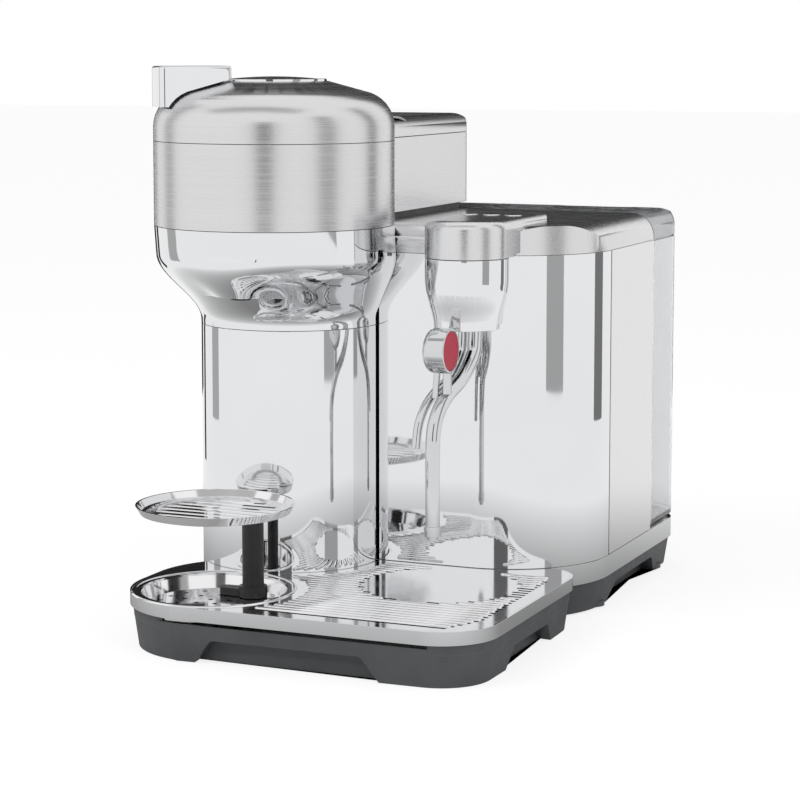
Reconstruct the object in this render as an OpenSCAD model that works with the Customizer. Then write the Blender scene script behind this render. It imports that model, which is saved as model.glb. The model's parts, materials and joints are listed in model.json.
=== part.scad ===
// Pod coffee machine with a brew head, a steam wand, a drip tray and a water tank.
// X points right, Y points to the back, Z points up; the counter is at Z = 0.

/* [Overall size] */
// Width from the left of the brew head to the right side panel
machine_w = 260; // [250:1:320]
// Depth from the front of the drip tray to the back of the water tank
machine_d = 390; // [370:1:470]
// Height of the body's flat top above the counter
body_top_z = 244.5; // [235:0.5:300]
// Height of the deck and of the drip tray's rim above the counter
deck_z = 33; // [31:1:38]

/* [Body] */
// Thickness of the steel body panels
sheet = 1.5; // [1:0.1:2]
// Gap left at each seam between body panels
seam = 0.3; // [0.2:0.05:0.5]
// Corner radius of the mirror panel at the front right
body_corner_r = 68; // [50:1:72]
// Corner radius of the water tank at the back right
tank_corner_r = 25; // [10:1:30]
// Corner radius of the used pod bin at the back left
bin_corner_r = 12; // [6:1:14]
// Height of the body's top cover
cover_h = 17.5; // [12:0.5:22]
// Edge radius of the body's top cover
cover_edge_r = 16; // [8:0.5:17]
// Height of the chrome band round the base
band_h = 13; // [10:0.5:14]
// Distance from the front of the drip tray back to the body's front face
tray_reach = 163; // [155:1:175]
// Height of the arches under the base
arch_h = 12; // [8:0.5:13]
// Outer diameter of the rubber feet
foot_d = 10; // [8:0.5:12]

/* [Column and brew head] */
// Outer radius of the round column
column_r = 56.5; // [50:0.5:60]
// Distance of the column's axis in front of the body's front face
column_ahead = 5.4; // [4:0.1:12]
// Outer radius of the brew head's drum
drum_r = 74; // [70:0.5:78]
// Distance of the drum's axis in front of the column's axis
drum_ahead = 23.6; // [15:0.1:26]
// Height of the bell between the column and the drum
bell_h = 62.5; // [50:0.5:70]
// Height of the brushed band round the drum
drum_band_h = 51.6; // [48:0.2:60]
// Height of the domed lid to the rim of its button
dome_h = 37; // [34:0.5:42]
// Radius of the dome's shoulder
shoulder_r = 22; // [15:1:24]
// Radius of the brew button on the lid
brew_button_r = 30; // [24:0.5:34]
// Length of the locking lever
lever_l = 45; // [35:0.5:46]
// Width of the locking lever
lever_w = 21; // [14:0.5:26]
// Direction of the locking lever, anticlockwise from the right
lever_angle = 226; // [200:1:270]
// Outer radius of the spinning pod cup
pod_cup_r = 36; // [33:0.5:38]
// Radius of the pod's seat
pod_seat_r = 31; // [28:0.5:32]

/* [Rear bridge] */
// Width of the bridge behind the drum
bridge_w = 105; // [98:1:110]
// Distance the bridge runs back over the body from its front face
bridge_l = 168; // [150:1:180]
// Gap between the body's top and the bridge
bridge_gap = 4.5; // [4:0.1:7]
// Height of the bridge's brushed cover
bridge_cover_h = 12.5; // [10:0.5:16]
// Edge radius of the bridge's cover and ends
bridge_edge_r = 11; // [6:0.5:12]

/* [Steam head and wand] */
// Radius of the round steam head
steam_r = 25.5; // [23:0.5:28]
// Distance of the steam head's axis from the body's right side
steam_from_right = 63.5; // [55:0.5:68]
// Distance of the steam head's axis in front of the body's front face
steam_ahead = 16.7; // [14:0.1:20]
// Height of the chrome cup under the steam head
cup_h = 43; // [38:0.5:48]
// Radius of the cup's open end
cup_mouth_r = 20; // [18:0.5:22]
// Length of the steam head's arm behind the body's front face
arm_l = 63; // [50:1:80]
// Diameter of the steam tube
wand_d = 8.8; // [7:0.1:10]
// Diameter of the air tube beside it
air_tube_d = 5.6; // [4:0.1:6]
// Diameter of the wand's knob
knob_d = 27; // [24:0.5:30]
// Width of the wand's knob
knob_w = 14.5; // [12:0.5:18]
// Diameter of the round keys on the steam head
key_d = 10; // [8:0.5:12]

/* [Drip tray and cup stand] */
// Height of the tray's chrome band
tray_band_h = 8; // [6:0.5:10]
// Radius of the round recess for the cup
recess_r = 50; // [46:0.5:51]
// Depth of the round recess
recess_depth = 9; // [6:0.5:10]
// Pitch of the ribs on the grate
rib_pitch = 5.5; // [5:0.5:9]
// Radius of the plain seat for the jug
jug_seat_r = 46; // [40:1:50]
// Diameter of the cup stand's post
post_d = 13; // [10:0.5:15]
// Radius of the cup stand's plate
plate_r = 47.5; // [42:0.5:48]
// Height of the cup stand's plate above the deck
plate_rise = 46; // [35:1:60]

/* [Tank and bin] */
// Depth of the water tank, front to back
tank_d = 69; // [55:1:75]
// Wall of the water tank
tank_wall = 2.5; // [2:0.1:3]
// Height of the used pod bin
bin_h = 117; // [90:1:125]
// Clearance round the pieces that slide or lift out
slide_gap = 0.6; // [0.4:0.05:1]
// Radial clearance of the hinge pins and bearings
pin_gap = 0.05; // [0.02:0.01:0.1]
// Diameter of the hinge pins
pin_d = 5; // [4:0.5:6]

/* [Hidden] */
$fn = 96;
e = 0.01;
far = 600;

// Plan of the machine
left_x = -machine_w / 2;
right_x = machine_w / 2;
front_y = -machine_d / 2;
back_y = machine_d / 2;
face_y = front_y + tray_reach;
drum_x = left_x + drum_r;
column_y = face_y - column_ahead;
drum_y = column_y - drum_ahead;
body_left = drum_x - column_r;
tank_y = back_y - tank_d;
bay_x = drum_x + column_r + 1;
steam_x = right_x - steam_from_right;
steam_y = face_y - steam_ahead;
groove_y = face_y + body_corner_r;

// Heights
base_top = deck_z - band_h;
cover_z = body_top_z - cover_h;
neck_z = body_top_z - bell_h;
drum_z = body_top_z + 0.2;
lid_z = drum_z + drum_band_h;
dome_top = lid_z + dome_h;
bridge_z = body_top_z + bridge_gap;
bridge_top = lid_z + bridge_cover_h;
arm_top = body_top_z + 5.5;
cup_z = cover_z - cup_h;
wand_pivot_z = cup_z + 9;
deck_floor = deck_z + 3;

// ---- shared shapes -------------------------------------------------------

// The part of a square corner that lies outside its rounding
module corner_cut(x, y, r, sx, sy) {
    if (r > 0)
        translate([x, y]) difference() {
            translate([sx > 0 ? -1 : -r, sy > 0 ? -1 : -r]) square(r + 1);
            translate([sx * r, sy * r]) circle(r);
        }
}

// Rectangle with four corner radii: front left, front right, back right, back left
module plan(x0, x1, y0, y1, r) {
    difference() {
        translate([x0, y0]) square([x1 - x0, y1 - y0]);
        corner_cut(x0, y0, r[0], 1, 1);
        corner_cut(x1, y0, r[1], -1, 1);
        corner_cut(x1, y1, r[2], -1, -1);
        corner_cut(x0, y1, r[3], 1, -1);
    }
}

module slab(z0, z1) {
    translate([0, 0, z0]) linear_extrude(z1 - z0) children();
}

module block(x0, x1, y0, y1, z0, z1) {
    translate([x0, y0, z0]) cube([x1 - x0, y1 - y0, z1 - z0]);
}

module rod_z(x, y, z0, z1, r) {
    translate([x, y, z0]) cylinder(r = r, h = z1 - z0);
}

module rod_x(x0, x1, y, z, r) {
    translate([x0, y, z]) rotate([0, 90, 0]) cylinder(r = r, h = x1 - x0);
}

module rod_y(x, y0, y1, z, r) {
    translate([x, y0, z]) rotate([-90, 0, 0]) cylinder(r = r, h = y1 - y0);
}

// Straight rod between two points
module rod(p, q, r) {
    d = q - p;
    len = norm(d);
    translate(p) rotate([0, acos(d[2] / len), atan2(d[1], d[0])]) cylinder(r = r, h = len);
}

// Outline of the body, taken in by an inset
module body_plan(inset) {
    plan(body_left + inset, right_x - inset, face_y + inset, back_y - inset,
        [0, body_corner_r - inset, tank_corner_r - inset, bin_corner_r - inset]);
}

// Outline of the base: the body with the foot of the column
module base_plan(inset) {
    body_plan(inset);
    translate([drum_x, column_y]) circle(column_r - inset);
}

// Body-wide block with rounded upper edges on all four sides
module loaf(x0, x1, y0, y1, z0, z1, r) {
    intersection() {
        translate([0, y1, 0]) rotate([90, 0, 0]) linear_extrude(y1 - y0)
            plan(x0, x1, z0, z1, [0, 0, r, r]);
        translate([x0, 0, 0]) rotate([90, 0, 90]) linear_extrude(x1 - x0)
            plan(y0, y1, z0, z1, [0, 0, r, r]);
    }
}

// ---- smooth tubes along a route -----------------------------------------

function unit(v) = v / norm(v);
// Direction that no tube runs along, from which each ring starts
ring_start = [1, 0.35, 0.2];
function ring_at(p, t, r, sides) =
    let (a = unit(cross(t, ring_start)), b = unit(cross(t, a)))
    [for (i = [0:sides - 1]) p + r * (cos(360 * i / sides) * a + sin(360 * i / sides) * b)];
function spline(p, i, u) =
    let (b = p[i], c = p[i + 1], s = norm(c - b),
        a = i > 0 ? p[i - 1] : 2 * b - c, d = i + 2 < len(p) ? p[i + 2] : 2 * c - b,
        start = s * unit(c - a), stop = s * unit(d - b))
    (2 * u * u * u - 3 * u * u + 1) * b + (u * u * u - 2 * u * u + u) * start
        + (3 * u * u - 2 * u * u * u) * c + (u * u * u - u * u) * stop;
function smooth_route(p, n) =
    [for (i = [0:len(p) - 2]) for (k = [0:n - 1]) spline(p, i, k / n), p[len(p) - 1]];

// Tube that follows the smooth curve through the points p
module tube_along(p, r, n = 3, sides = 8) {
    q = smooth_route(p, n);
    m = len(q);
    rings = [for (i = [0:m - 1])
        each ring_at(q[i], q[min(i + 1, m - 1)] - q[max(i - 1, 0)], r, sides)];
    walls = [for (i = [0:m - 2]) for (k = [0:sides - 1])
        let (a = i * sides + k, b = i * sides + (k + 1) % sides)
        each [[a, b + sides, b], [a, a + sides, b + sides]]];
    ends = [[for (k = [0:sides - 1]) k], [for (k = [0:sides - 1]) m * sides - 1 - k]];
    polyhedron(rings, concat(walls, ends), convexity = 6);
}

// ---- base ----------------------------------------------------------------

foot_in = 10;
gland_x = right_x - 42;
gland_z = 10;
foot_places = [[right_x - 26, groove_y - 42], [right_x - foot_in, tank_y + 30],
    [body_left + foot_in, back_y - 24], [drum_x, column_y - column_r + foot_in + 2],
    [body_left + foot_in, face_y + 30], [right_x - foot_in, groove_y - 2]];
base_floor_z = arch_h + 1.2;
ring_w = 16;

// Outline of an arch between two feet, with a lean at each end and rounded corners
module arch(a0, a1, h, lean0, lean1) {
    offset(r = 3) offset(delta = -3)
        polygon([[a0 - lean0, -h], [a0 + lean0, h], [a1 - lean1, h], [a1 + lean1, -h]]);
}

module arch_along_y(x0, x1) {
    translate([x0, 0, 0]) rotate([90, 0, 90]) linear_extrude(x1 - x0) children();
}

module arch_along_x(y0, y1) {
    translate([0, y1, 0]) rotate([90, 0, 0]) linear_extrude(y1 - y0) children();
}

// Cuts through the edge of the base between its feet
module base_arches() {
    arch_along_y(right_x - 11, right_x + 1) arch(groove_y + 8, tank_y + 20, arch_h, 18, 9);
    arch_along_y(body_left - 1, body_left + 11) arch(face_y + 44, tank_y + 30, arch_h, 9, 9);
    arch_along_x(back_y - 11, back_y + 1) arch(body_left + 50, right_x - 60, arch_h, 9, 9);
}

module base_moulding() {
    color([0.25, 0.26, 0.27]) difference() {
        slab(1, base_top - e) base_plan(1.5);
        slab(base_floor_z + 2, base_top + 1) base_plan(4);
        slab(0, base_floor_z - 1) base_plan(ring_w);
        base_arches();
        for (p = foot_places) rod_z(p[0], p[1], 0, 4, foot_d / 2 + pin_gap);
        rod_y(gland_x, back_y - 20, back_y + 1, gland_z, 4);
    }
}

module foot_pads() {
    color([0.08, 0.08, 0.08])
        for (p = foot_places) rod_z(p[0], p[1], 0, 4, foot_d / 2);
}

module base_band() {
    color([0.85, 0.85, 0.86]) difference() {
        slab(base_top, deck_z) base_plan(0);
        slab(base_top - 1, deck_z + 1) base_plan(2);
    }
}

module deck_plate() {
    color([0.6, 0.6, 0.62]) difference() {
        union() {
            slab(deck_z - 2, deck_z - e) base_plan(2 + e);
            slab(base_floor_z + 2, deck_z - 2) difference() {
                base_plan(30);
                base_plan(32);
            }
        }
        rod_z(right_x - 70, tank_y + 34, 0, far, 6);
        rod_z(meter_x - 6, meter_y, 0, far, 3);
    }
}

// Gland at the back of the base where the mains lead comes in
module cord_inlet() {
    color([0.1, 0.1, 0.1]) difference() {
        union() {
            rod_y(gland_x, back_y - 12, back_y - 0.5, gland_z, 4 - pin_gap);
            rod_y(gland_x, back_y - 1.5 + e, back_y, gland_z, 4.8);
        }
        rod_y(gland_x, back_y - 13, back_y + 1, gland_z, 3);
    }
}

// ---- frame inside the body -----------------------------------------------

bulk_t = 2;
bulk_top = cover_z - seam;
wall_y = tank_y - slide_gap - bulk_t - 1;

module bulkhead() {
    color([0.62, 0.63, 0.65]) difference() {
        union() {
            block(bay_x - bulk_t, bay_x, face_y + 56, back_y - 4, deck_z, bulk_top);
            block(bay_x - bulk_t, right_x - sheet - 1, wall_y, wall_y + bulk_t, deck_z, bulk_top);
            block(bay_x, bay_x + 10, face_y + 60, wall_y, deck_z, deck_z + bulk_t);
            block(bay_x, right_x - 30, wall_y - 6, wall_y, deck_z, deck_z + bulk_t);
        }
        block(bay_x - bulk_t - 1, bay_x + 1, face_y + 80, face_y + 110, cover_z - 22, cover_z);
    }
}

module tank_dock() {
    color([0.15, 0.15, 0.16]) difference() {
        union() {
            slab(deck_z, deck_z + 2.4) plan(bay_x + 6, right_x - 5, tank_y + 5, back_y - 5,
                [2, 2, tank_corner_r - 5, 2]);
            rod_z(right_x - 70, tank_y + 34, deck_z - 3, deck_z + 2.4, 5.9);
            rod_z(right_x - 70, tank_y + 34, deck_z, deck_z + 6, 2);
        }
        rod_z(right_x - 66.4, tank_y + 34, deck_z - 4, deck_z + 3, 0.9);
        rod_z(right_x - 73.6, tank_y + 34, deck_z - 4, deck_z + 3, 0.9);
    }
}

// ---- body panels ----------------------------------------------------------

panel_z0 = deck_z + seam;
panel_z1 = cover_z - seam;

module body_skin(x0, x1, y0, y1, z0, z1) {
    intersection() {
        difference() {
            slab(z0, z1) body_plan(0);
            slab(z0 - 1, z1 + 1) body_plan(sheet);
        }
        block(x0, x1, y0, y1, z0, z1);
    }
}

module front_panel() {
    color([0.92, 0.92, 0.93]) difference() {
        union() {
            body_skin(bay_x, right_x, face_y, groove_y, panel_z0, panel_z1);
            block(right_x - 8, right_x - sheet, groove_y - sheet, groove_y, panel_z0, panel_z1);
        }
        rod_y(steam_x, face_y - 1, face_y + 5, cup_z + cup_h / 2, 12);
    }
}

module side_panel_right() {
    color([0.78, 0.78, 0.78]) union() {
        block(right_x - sheet, right_x, groove_y + 2, tank_y - 0.5, panel_z0, panel_z1);
        block(right_x - 8, right_x - sheet, groove_y + 2, groove_y + 2 + sheet, panel_z0, panel_z1);
        block(right_x - 2.2, right_x - sheet, tank_y - 3, tank_y - 0.5, panel_z0, panel_z1);
    }
}

left_panel_y = face_y + 12;
bin_door_y = back_y - bin_corner_r - 1;

module side_panel_left() {
    color([0.78, 0.78, 0.78]) union() {
        block(body_left, body_left + sheet, left_panel_y, bin_door_y - seam, panel_z0, panel_z1);
        block(body_left + sheet, body_left + 2.2, left_panel_y, left_panel_y + sheet, panel_z0, panel_z1);
    }
}

module rear_panel() {
    color([0.78, 0.78, 0.78]) union() {
        body_skin(body_left, bay_x - bulk_t - seam, bin_door_y, back_y, deck_z + bin_h + seam, panel_z1);
        block(body_left + 5, bay_x - bulk_t - seam, back_y - 3, back_y - sheet,
            deck_z + bin_h + seam, deck_z + bin_h + 2);
    }
}

module cover_form(inset) {
    intersection() {
        slab(cover_z - (inset > 0 ? 1 : 0), body_top_z - inset) body_plan(inset);
        loaf(body_left + inset, right_x - inset, face_y + inset, back_y - inset,
            cover_z - 2, body_top_z - inset, cover_edge_r - inset);
    }
}

lid_gap = 0.8;
chute_x0 = drum_x - 34;
chute_x1 = drum_x + 34;
chute_y0 = face_y + 100;
chute_y1 = face_y + 158;

module tank_bay(gap) {
    block(bay_x - gap, far, tank_y - gap, far, cover_z - 5, body_top_z + 5);
}

module top_cover() {
    color([0.76, 0.76, 0.77]) difference() {
        cover_form(0);
        cover_form(sheet);
        tank_bay(lid_gap / 2);
        block(chute_x0 - 2, chute_x1 + 2, chute_y0 - 2, chute_y1 + 2, cover_z, body_top_z + 1);
        block(steam_x - steam_r + 4, steam_x + steam_r - 4, face_y + 20, face_y + arm_l - 6,
            cover_z, body_top_z + 1);
        block(drum_x + 23, drum_x + 37, face_y + 60, face_y + 74, cover_z, body_top_z + 1);
        rod_y(steam_x + 5, face_y - 1, face_y + 8, cover_z + 3, 5);
        for (s = cover_screw_places) rod_z(s[0], s[1], cover_z, body_top_z + 1, 1.6);
    }
}

cover_screw_places = [[drum_x - 42, face_y + 80], [drum_x + 42, face_y + 80],
    [drum_x - 42, face_y + 140], [drum_x + 42, face_y + 140]];

// Screws that hold the bridge's foot down to the top cover
module cover_screws() {
    color([0.7, 0.7, 0.7]) for (s = cover_screw_places) {
        rod_z(s[0], s[1], body_top_z - 9, bridge_z - 2, 1.6 - pin_gap);
        rod_z(s[0], s[1], bridge_z - 2, bridge_z, 3);
    }
}

// ---- column and bell -------------------------------------------------------

module column() {
    color([0.92, 0.92, 0.93]) difference() {
        rod_z(drum_x, column_y, deck_z + e, neck_z - seam, column_r);
        rod_z(drum_x, column_y, deck_z - 1, neck_z + 1, column_r - sheet);
        block(drum_x - 20, drum_x + 20, column_y + 30, column_y + 80, deck_z + 20, neck_z - 20);
    }
}

// Share of the way from the column's radius to the drum's at height share t
function flare(t) = let (u = min(1, t / 0.72)) u * u * (3 - 2 * u);
// How far the coffee chin stands out in front at height share t
function chin(t) = t < 0.345 ? 0 : 6.5 * pow(max(0, 1 - (t - 0.345) / 0.5), 1.6);
bell_steps = [0, 0.07, 0.14, 0.21, 0.28, 0.34, 0.35, 0.42, 0.5, 0.58, 0.66, 0.74, 0.87, 1];
function bell_ring(t, inset) =
    let (r = column_r + (drum_r - column_r) * flare(t) - inset, cy = column_y - drum_ahead * t)
    [for (i = [0:47]) let (a = 7.5 * i, w = chin(t) * exp(-pow((a - 270) / 11, 2)))
        [drum_x + (r + w) * cos(a), cy + (r + w) * sin(a), neck_z + t * (drum_z - seam - neck_z)]];

module bell() {
    n = 48;
    m = len(bell_steps);
    outer = [for (t = bell_steps) each bell_ring(t, 0)];
    inner = [for (t = bell_steps) each bell_ring(t, sheet)];
    o = m * n;
    sides = [for (k = [0:m - 2]) for (i = [0:n - 1]) let (j = (i + 1) % n, a = k * n)
        each [[a + i, a + n + i, a + j], [a + j, a + n + i, a + n + j],
            [o + a + i, o + a + j, o + a + n + i], [o + a + j, o + a + n + j, o + a + n + i]]];
    rims = [for (i = [0:n - 1]) let (j = (i + 1) % n, a = (m - 1) * n)
        each [[i, j, o + i], [j, o + j, o + i],
            [a + i, o + a + i, a + j], [a + j, o + a + i, o + a + j]]];
    color([0.9, 0.9, 0.91]) difference() {
        polyhedron(concat(outer, inner), concat(sides, rims), convexity = 8);
        block(body_left - seam, right_x, face_y - seam, back_y, neck_z - 1, drum_z);
        rod_z(drum_x, drum_y - drum_r + 29, neck_z + 10, neck_z + 22, 8);
    }
}

module coffee_nozzle() {
    x = drum_x;
    y = drum_y - drum_r + 29;
    color([0.08, 0.08, 0.08]) difference() {
        union() {
            rod_z(x, y, neck_z + 20, drum_z - e, 7);
            rod_z(x, y, drum_z - 6, drum_z - e, 11);
        }
        rod_z(x, y, neck_z + 10, drum_z - 8, 4.5);
        rod_z(x, y, drum_z - 9, drum_z + 1, 8);
    }
}

// ---- brew head -------------------------------------------------------------

spindle_r = 6;
bearing_r = 13;
floor_t = 3;
pulley_z = drum_z + 9;
pulley_h = 6;
cup_pulley_r = 22;
motor_pulley_r = 9;
motor_y = face_y + 80;
cup_floor_z = pulley_z + pulley_h + 2;
cup_rim_z = lid_z - 5;
hinge_y = drum_y + drum_r + 9.5;
hinge_z = lid_z + 4;
knuckle_x = 32;
knuckle_w = 10;
lug_x = knuckle_x + knuckle_w + 0.3;
lug_w = 6;

module head_band() {
    color([0.74, 0.74, 0.75]) difference() {
        rod_z(drum_x, drum_y, drum_z, lid_z - seam, drum_r);
        rod_z(drum_x, drum_y, drum_z - 1, lid_z, drum_r - 1.6);
        block(drum_x - 36, drum_x + 36, drum_y + 40, drum_y + drum_r + 1, drum_z + 4, lid_z + 1);
    }
}

module head_floor() {
    color([0.13, 0.13, 0.14]) difference() {
        union() {
            rod_z(drum_x, drum_y, drum_z, drum_z + floor_t, drum_r - 1.6 - e);
            rod_z(drum_x, drum_y, drum_z + floor_t, pulley_z - 0.8, bearing_r + 3);
        }
        rod_z(drum_x, drum_y, drum_z - 1, pulley_z, bearing_r);
        rod_z(drum_x, drum_y - drum_r + 29, drum_z - 1, pulley_z, 8);
    }
}

module cup_bearing() {
    color([0.7, 0.7, 0.72]) difference() {
        rod_z(drum_x, drum_y, drum_z + 0.5, pulley_z - 1, bearing_r - e);
        rod_z(drum_x, drum_y, drum_z, pulley_z, spindle_r + pin_gap);
    }
}

// Deck round the pod cup, with the lugs of the lid's hinge
module head_deck() {
    z0 = lid_z - 6;
    z1 = lid_z - 3.5;
    color([0.12, 0.12, 0.13]) difference() {
        union() {
            rod_z(drum_x, drum_y, z0, z1, drum_r - 1.6 - e);
            block(drum_x - 35.5, drum_x + 35.5, drum_y + 40, chute_y0 - e, z0, z1);
            block(drum_x - lug_x - lug_w, drum_x + lug_x + lug_w, hinge_y - 6, hinge_y + 6, z0, z1);
            for (s = [-1, 1]) translate([drum_x + s * (lug_x + lug_w / 2) - lug_w / 2, 0, 0]) {
                block(0, lug_w, hinge_y - 6, hinge_y + 6, z1 - 1, hinge_z);
                rod_x(0, lug_w, hinge_y, hinge_z, 6);
            }
            difference() {
                rod_z(drum_x, drum_y, drum_z + floor_t, z0, drum_r - 5);
                rod_z(drum_x, drum_y, drum_z, z0 + 1, drum_r - 7);
                block(drum_x - 35, drum_x + 35, drum_y, far, drum_z, z0 - e);
                block(drum_x - 14, drum_x + 14, -far, drum_y, drum_z, z0 - e);
            }
        }
        rod_z(drum_x, drum_y, drum_z, lid_z, pod_cup_r + 1);
        rod_x(drum_x - far, drum_x + far, hinge_y, hinge_z, pin_d / 2 + pin_gap);
    }
}

// Steel pins of the lid's hinge and of the wand's hinge
module pivot_pins() {
    reach = lug_x + lug_w;
    color([0.7, 0.7, 0.72]) {
        rod_x(drum_x - reach, drum_x - knuckle_x, hinge_y, hinge_z, pin_d / 2);
        rod_x(drum_x + knuckle_x, drum_x + reach, hinge_y, hinge_z, pin_d / 2);
        rod_x(steam_x - wand_lug_x, steam_x + wand_lug_x, steam_y, wand_pivot_z, pin_d / 2);
    }
}

// Spinning cup that holds the pod; its spindle carries the belt's large pulley
module pod_cup() {
    color([0.3, 0.3, 0.32]) translate([drum_x, drum_y, 0]) difference() {
        union() {
            translate([0, 0, cup_floor_z]) cylinder(r = pod_cup_r, h = cup_rim_z - cup_floor_z);
            translate([0, 0, pulley_z]) cylinder(r = cup_pulley_r, h = pulley_h);
            translate([0, 0, drum_z + 0.5]) cylinder(r = spindle_r, h = cup_floor_z - drum_z);
        }
        translate([0, 0, cup_floor_z + 3]) cylinder(r1 = 20, r2 = pod_seat_r, h = 8);
        translate([0, 0, cup_floor_z + 11 - e]) cylinder(r = pod_seat_r, h = 40);
        translate([0, 0, cup_rim_z - 2]) cylinder(r = pod_seat_r + 2.5, h = 5);
        translate([0, 0, drum_z]) cylinder(r = 2, h = 60);
    }
}

module drive_belt() {
    gap = 0.15;
    t = 1.4;
    mid = (motor_y + drum_y) / 2;
    span = motor_y - drum_y;
    lean = asin((cup_pulley_r - motor_pulley_r) / span);
    color([0.05, 0.05, 0.05]) translate([drum_x, drum_y, 0]) difference() {
        slab(pulley_z + 1, pulley_z + pulley_h - 1) union() {
            circle(cup_pulley_r + gap + t);
            translate([0, span]) circle(motor_pulley_r + gap + t);
            belt_web(cup_pulley_r + gap + t, motor_pulley_r + gap + t, span, lean);
        }
        slab(pulley_z, pulley_z + pulley_h) union() {
            circle(cup_pulley_r + gap);
            translate([0, span]) circle(motor_pulley_r + gap);
            belt_web(cup_pulley_r + gap, motor_pulley_r + gap, span, lean);
        }
    }
}

// Area between the two straight runs of a belt round circles r0 and r1
module belt_web(r0, r1, span, lean) {
    polygon([[r0 * cos(lean), r0 * sin(lean)], [r1 * cos(lean), span + r1 * sin(lean)],
        [-r1 * cos(lean), span + r1 * sin(lean)], [-r0 * cos(lean), r0 * sin(lean)]]);
}

module motor_pulley() {
    color([0.5, 0.5, 0.52]) translate([drum_x, motor_y, 0]) difference() {
        translate([0, 0, pulley_z]) cylinder(r = motor_pulley_r, h = pulley_h);
        translate([0, 0, pulley_z - 1]) cylinder(r = 2 + pin_gap, h = pulley_h + 2);
    }
}

motor_r = 17;
motor_z = pulley_z + pulley_h + 3;
motor_l = lid_z - 7.5 - motor_z;

module spin_motor() {
    color([0.55, 0.56, 0.58]) translate([drum_x, motor_y, 0]) {
        translate([0, 0, motor_z]) cylinder(r = motor_r, h = motor_l);
        translate([0, 0, pulley_z - 1]) cylinder(r = 2, h = motor_z - pulley_z + 1.5);
        difference() {
            translate([-22, -20, motor_z - 2]) cube([44, 40, 2]);
            translate([0, 0, motor_z - 3]) cylinder(r = 12, h = 2.5);
        }
        for (s = [-1, 1]) translate([s * 20.5 - 1.5, -20, bridge_z + 2 + e]) {
            cube([3, 40, motor_z - bridge_z - 2.5]);
        }
    }
}

// ---- bridge ----------------------------------------------------------------

bridge_x0 = drum_x + 0.5 - bridge_w / 2;
bridge_x1 = bridge_x0 + bridge_w;
bridge_y1 = face_y + bridge_l;

module bridge_plan(inset, drum_gap) {
    difference() {
        plan(bridge_x0 + inset, bridge_x1 - inset, drum_y, bridge_y1 - inset,
            [0, 0, bridge_edge_r - inset, bridge_edge_r - inset]);
        translate([drum_x, drum_y]) circle(drum_r + drum_gap);
    }
}

module bridge_shell() {
    color([0.76, 0.76, 0.77]) difference() {
        slab(bridge_z, lid_z - seam) bridge_plan(0, 0.4);
        slab(bridge_z + 2, lid_z) bridge_plan(1.8, -1);
        block(chute_x0 - seam, chute_x1 + seam, chute_y0 - seam, chute_y1 + seam, bridge_z - 1, bridge_z + 3);
        for (s = cover_screw_places) rod_z(s[0], s[1], bridge_z - 1, bridge_z + 3, 3.4);
        block(drum_x + 25, drum_x + 35, face_y + 60, face_y + 74, bridge_z - 1, bridge_z + 3);
    }
}

module bridge_foot() {
    color([0.05, 0.05, 0.05]) difference() {
        slab(body_top_z + e, bridge_z - e) bridge_plan(5, 0.5);
        slab(body_top_z - 1, bridge_z + 1) difference() {
            bridge_plan(14, 4);
            for (s = cover_screw_places) translate([s[0], s[1]]) circle(6);
        }
        block(chute_x0 - seam, chute_x1 + seam, chute_y0 - seam, chute_y1 + seam, body_top_z - 1, bridge_z + 1);
        for (s = cover_screw_places) {
            rod_z(s[0], s[1], body_top_z - 1, bridge_z, 1.6);
            rod_z(s[0], s[1], bridge_z - 2, bridge_z + 1, 3.1);
        }
    }
}

module bridge_cover() {
    z0 = lid_z;
    color([0.76, 0.76, 0.77]) difference() {
        intersection() {
            slab(z0, bridge_top) bridge_plan(0, 1.6);
            loaf(bridge_x0, bridge_x1, drum_y - far, bridge_y1, z0 - 30, bridge_top, bridge_edge_r);
        }
        intersection() {
            slab(z0 - 1, bridge_top - 1.6) bridge_plan(1.6, -1);
            loaf(bridge_x0 + 1.6, bridge_x1 - 1.6, drum_y - far, bridge_y1 - 1.6, z0 - 30,
                bridge_top - 1.6, bridge_edge_r - 1.6);
        }
        rod_z(drum_x, drum_y, z0 - 1, bridge_top + 1, drum_r + 4);
        for (s = [-1, 1]) translate([drum_x + s * (knuckle_x + lug_x + lug_w) / 2, 0, 0])
            block(-lug_w - 3, lug_w + 3, drum_y, hinge_y + 8, z0 - 1, bridge_top + 1);
    }
}

// Chute that takes used pods from the bridge down to the bin
module pod_chute() {
    z0 = deck_z + bin_h + 5;
    z1 = bridge_z + 12;
    color([0.16, 0.16, 0.17]) difference() {
        union() {
            block(chute_x0, chute_x1, chute_y0, chute_y1, z0, z1);
            block(chute_x0 - 6, chute_x1 + 6, chute_y0 - 6, chute_y1 + 6, cover_z - 3, cover_z - 1.2);
            for (x = [body_left + sheet + 0.02, bay_x - bulk_t - 3.02])
                block(x, x + 3, chute_y0, chute_y1, cover_z - 20, cover_z - 1.2);
            block(body_left + sheet + 0.02, bay_x - bulk_t - 0.02, chute_y0 + 8, chute_y0 + 12,
                cover_z - 20, cover_z - 1.2);
        }
        block(chute_x0 + 2, chute_x1 - 2, chute_y0 + 2, chute_y1 - 2, z0 - 1, z1 + 1);
    }
}

// ---- lid of the brew head ---------------------------------------------------

shoulder_z = dome_top - 7;
lever_ring_r = brew_button_r + 0.5;

// Half profile of the dome, grown outwards by g
function dome_profile(g) = concat(
    [[0, lid_z - 20], [drum_r + g, lid_z - 20], [drum_r + g, shoulder_z - shoulder_r]],
    [for (a = [10:10:70]) [drum_r - shoulder_r + (shoulder_r + g) * cos(a),
        shoulder_z - shoulder_r + (shoulder_r + g) * sin(a)]],
    [[brew_button_r + 3, dome_top - 1 + g], [0, dome_top - 1 + g]]);

module dome_solid(g) {
    translate([drum_x, drum_y, 0]) rotate_extrude() polygon(dome_profile(g));
}

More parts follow.
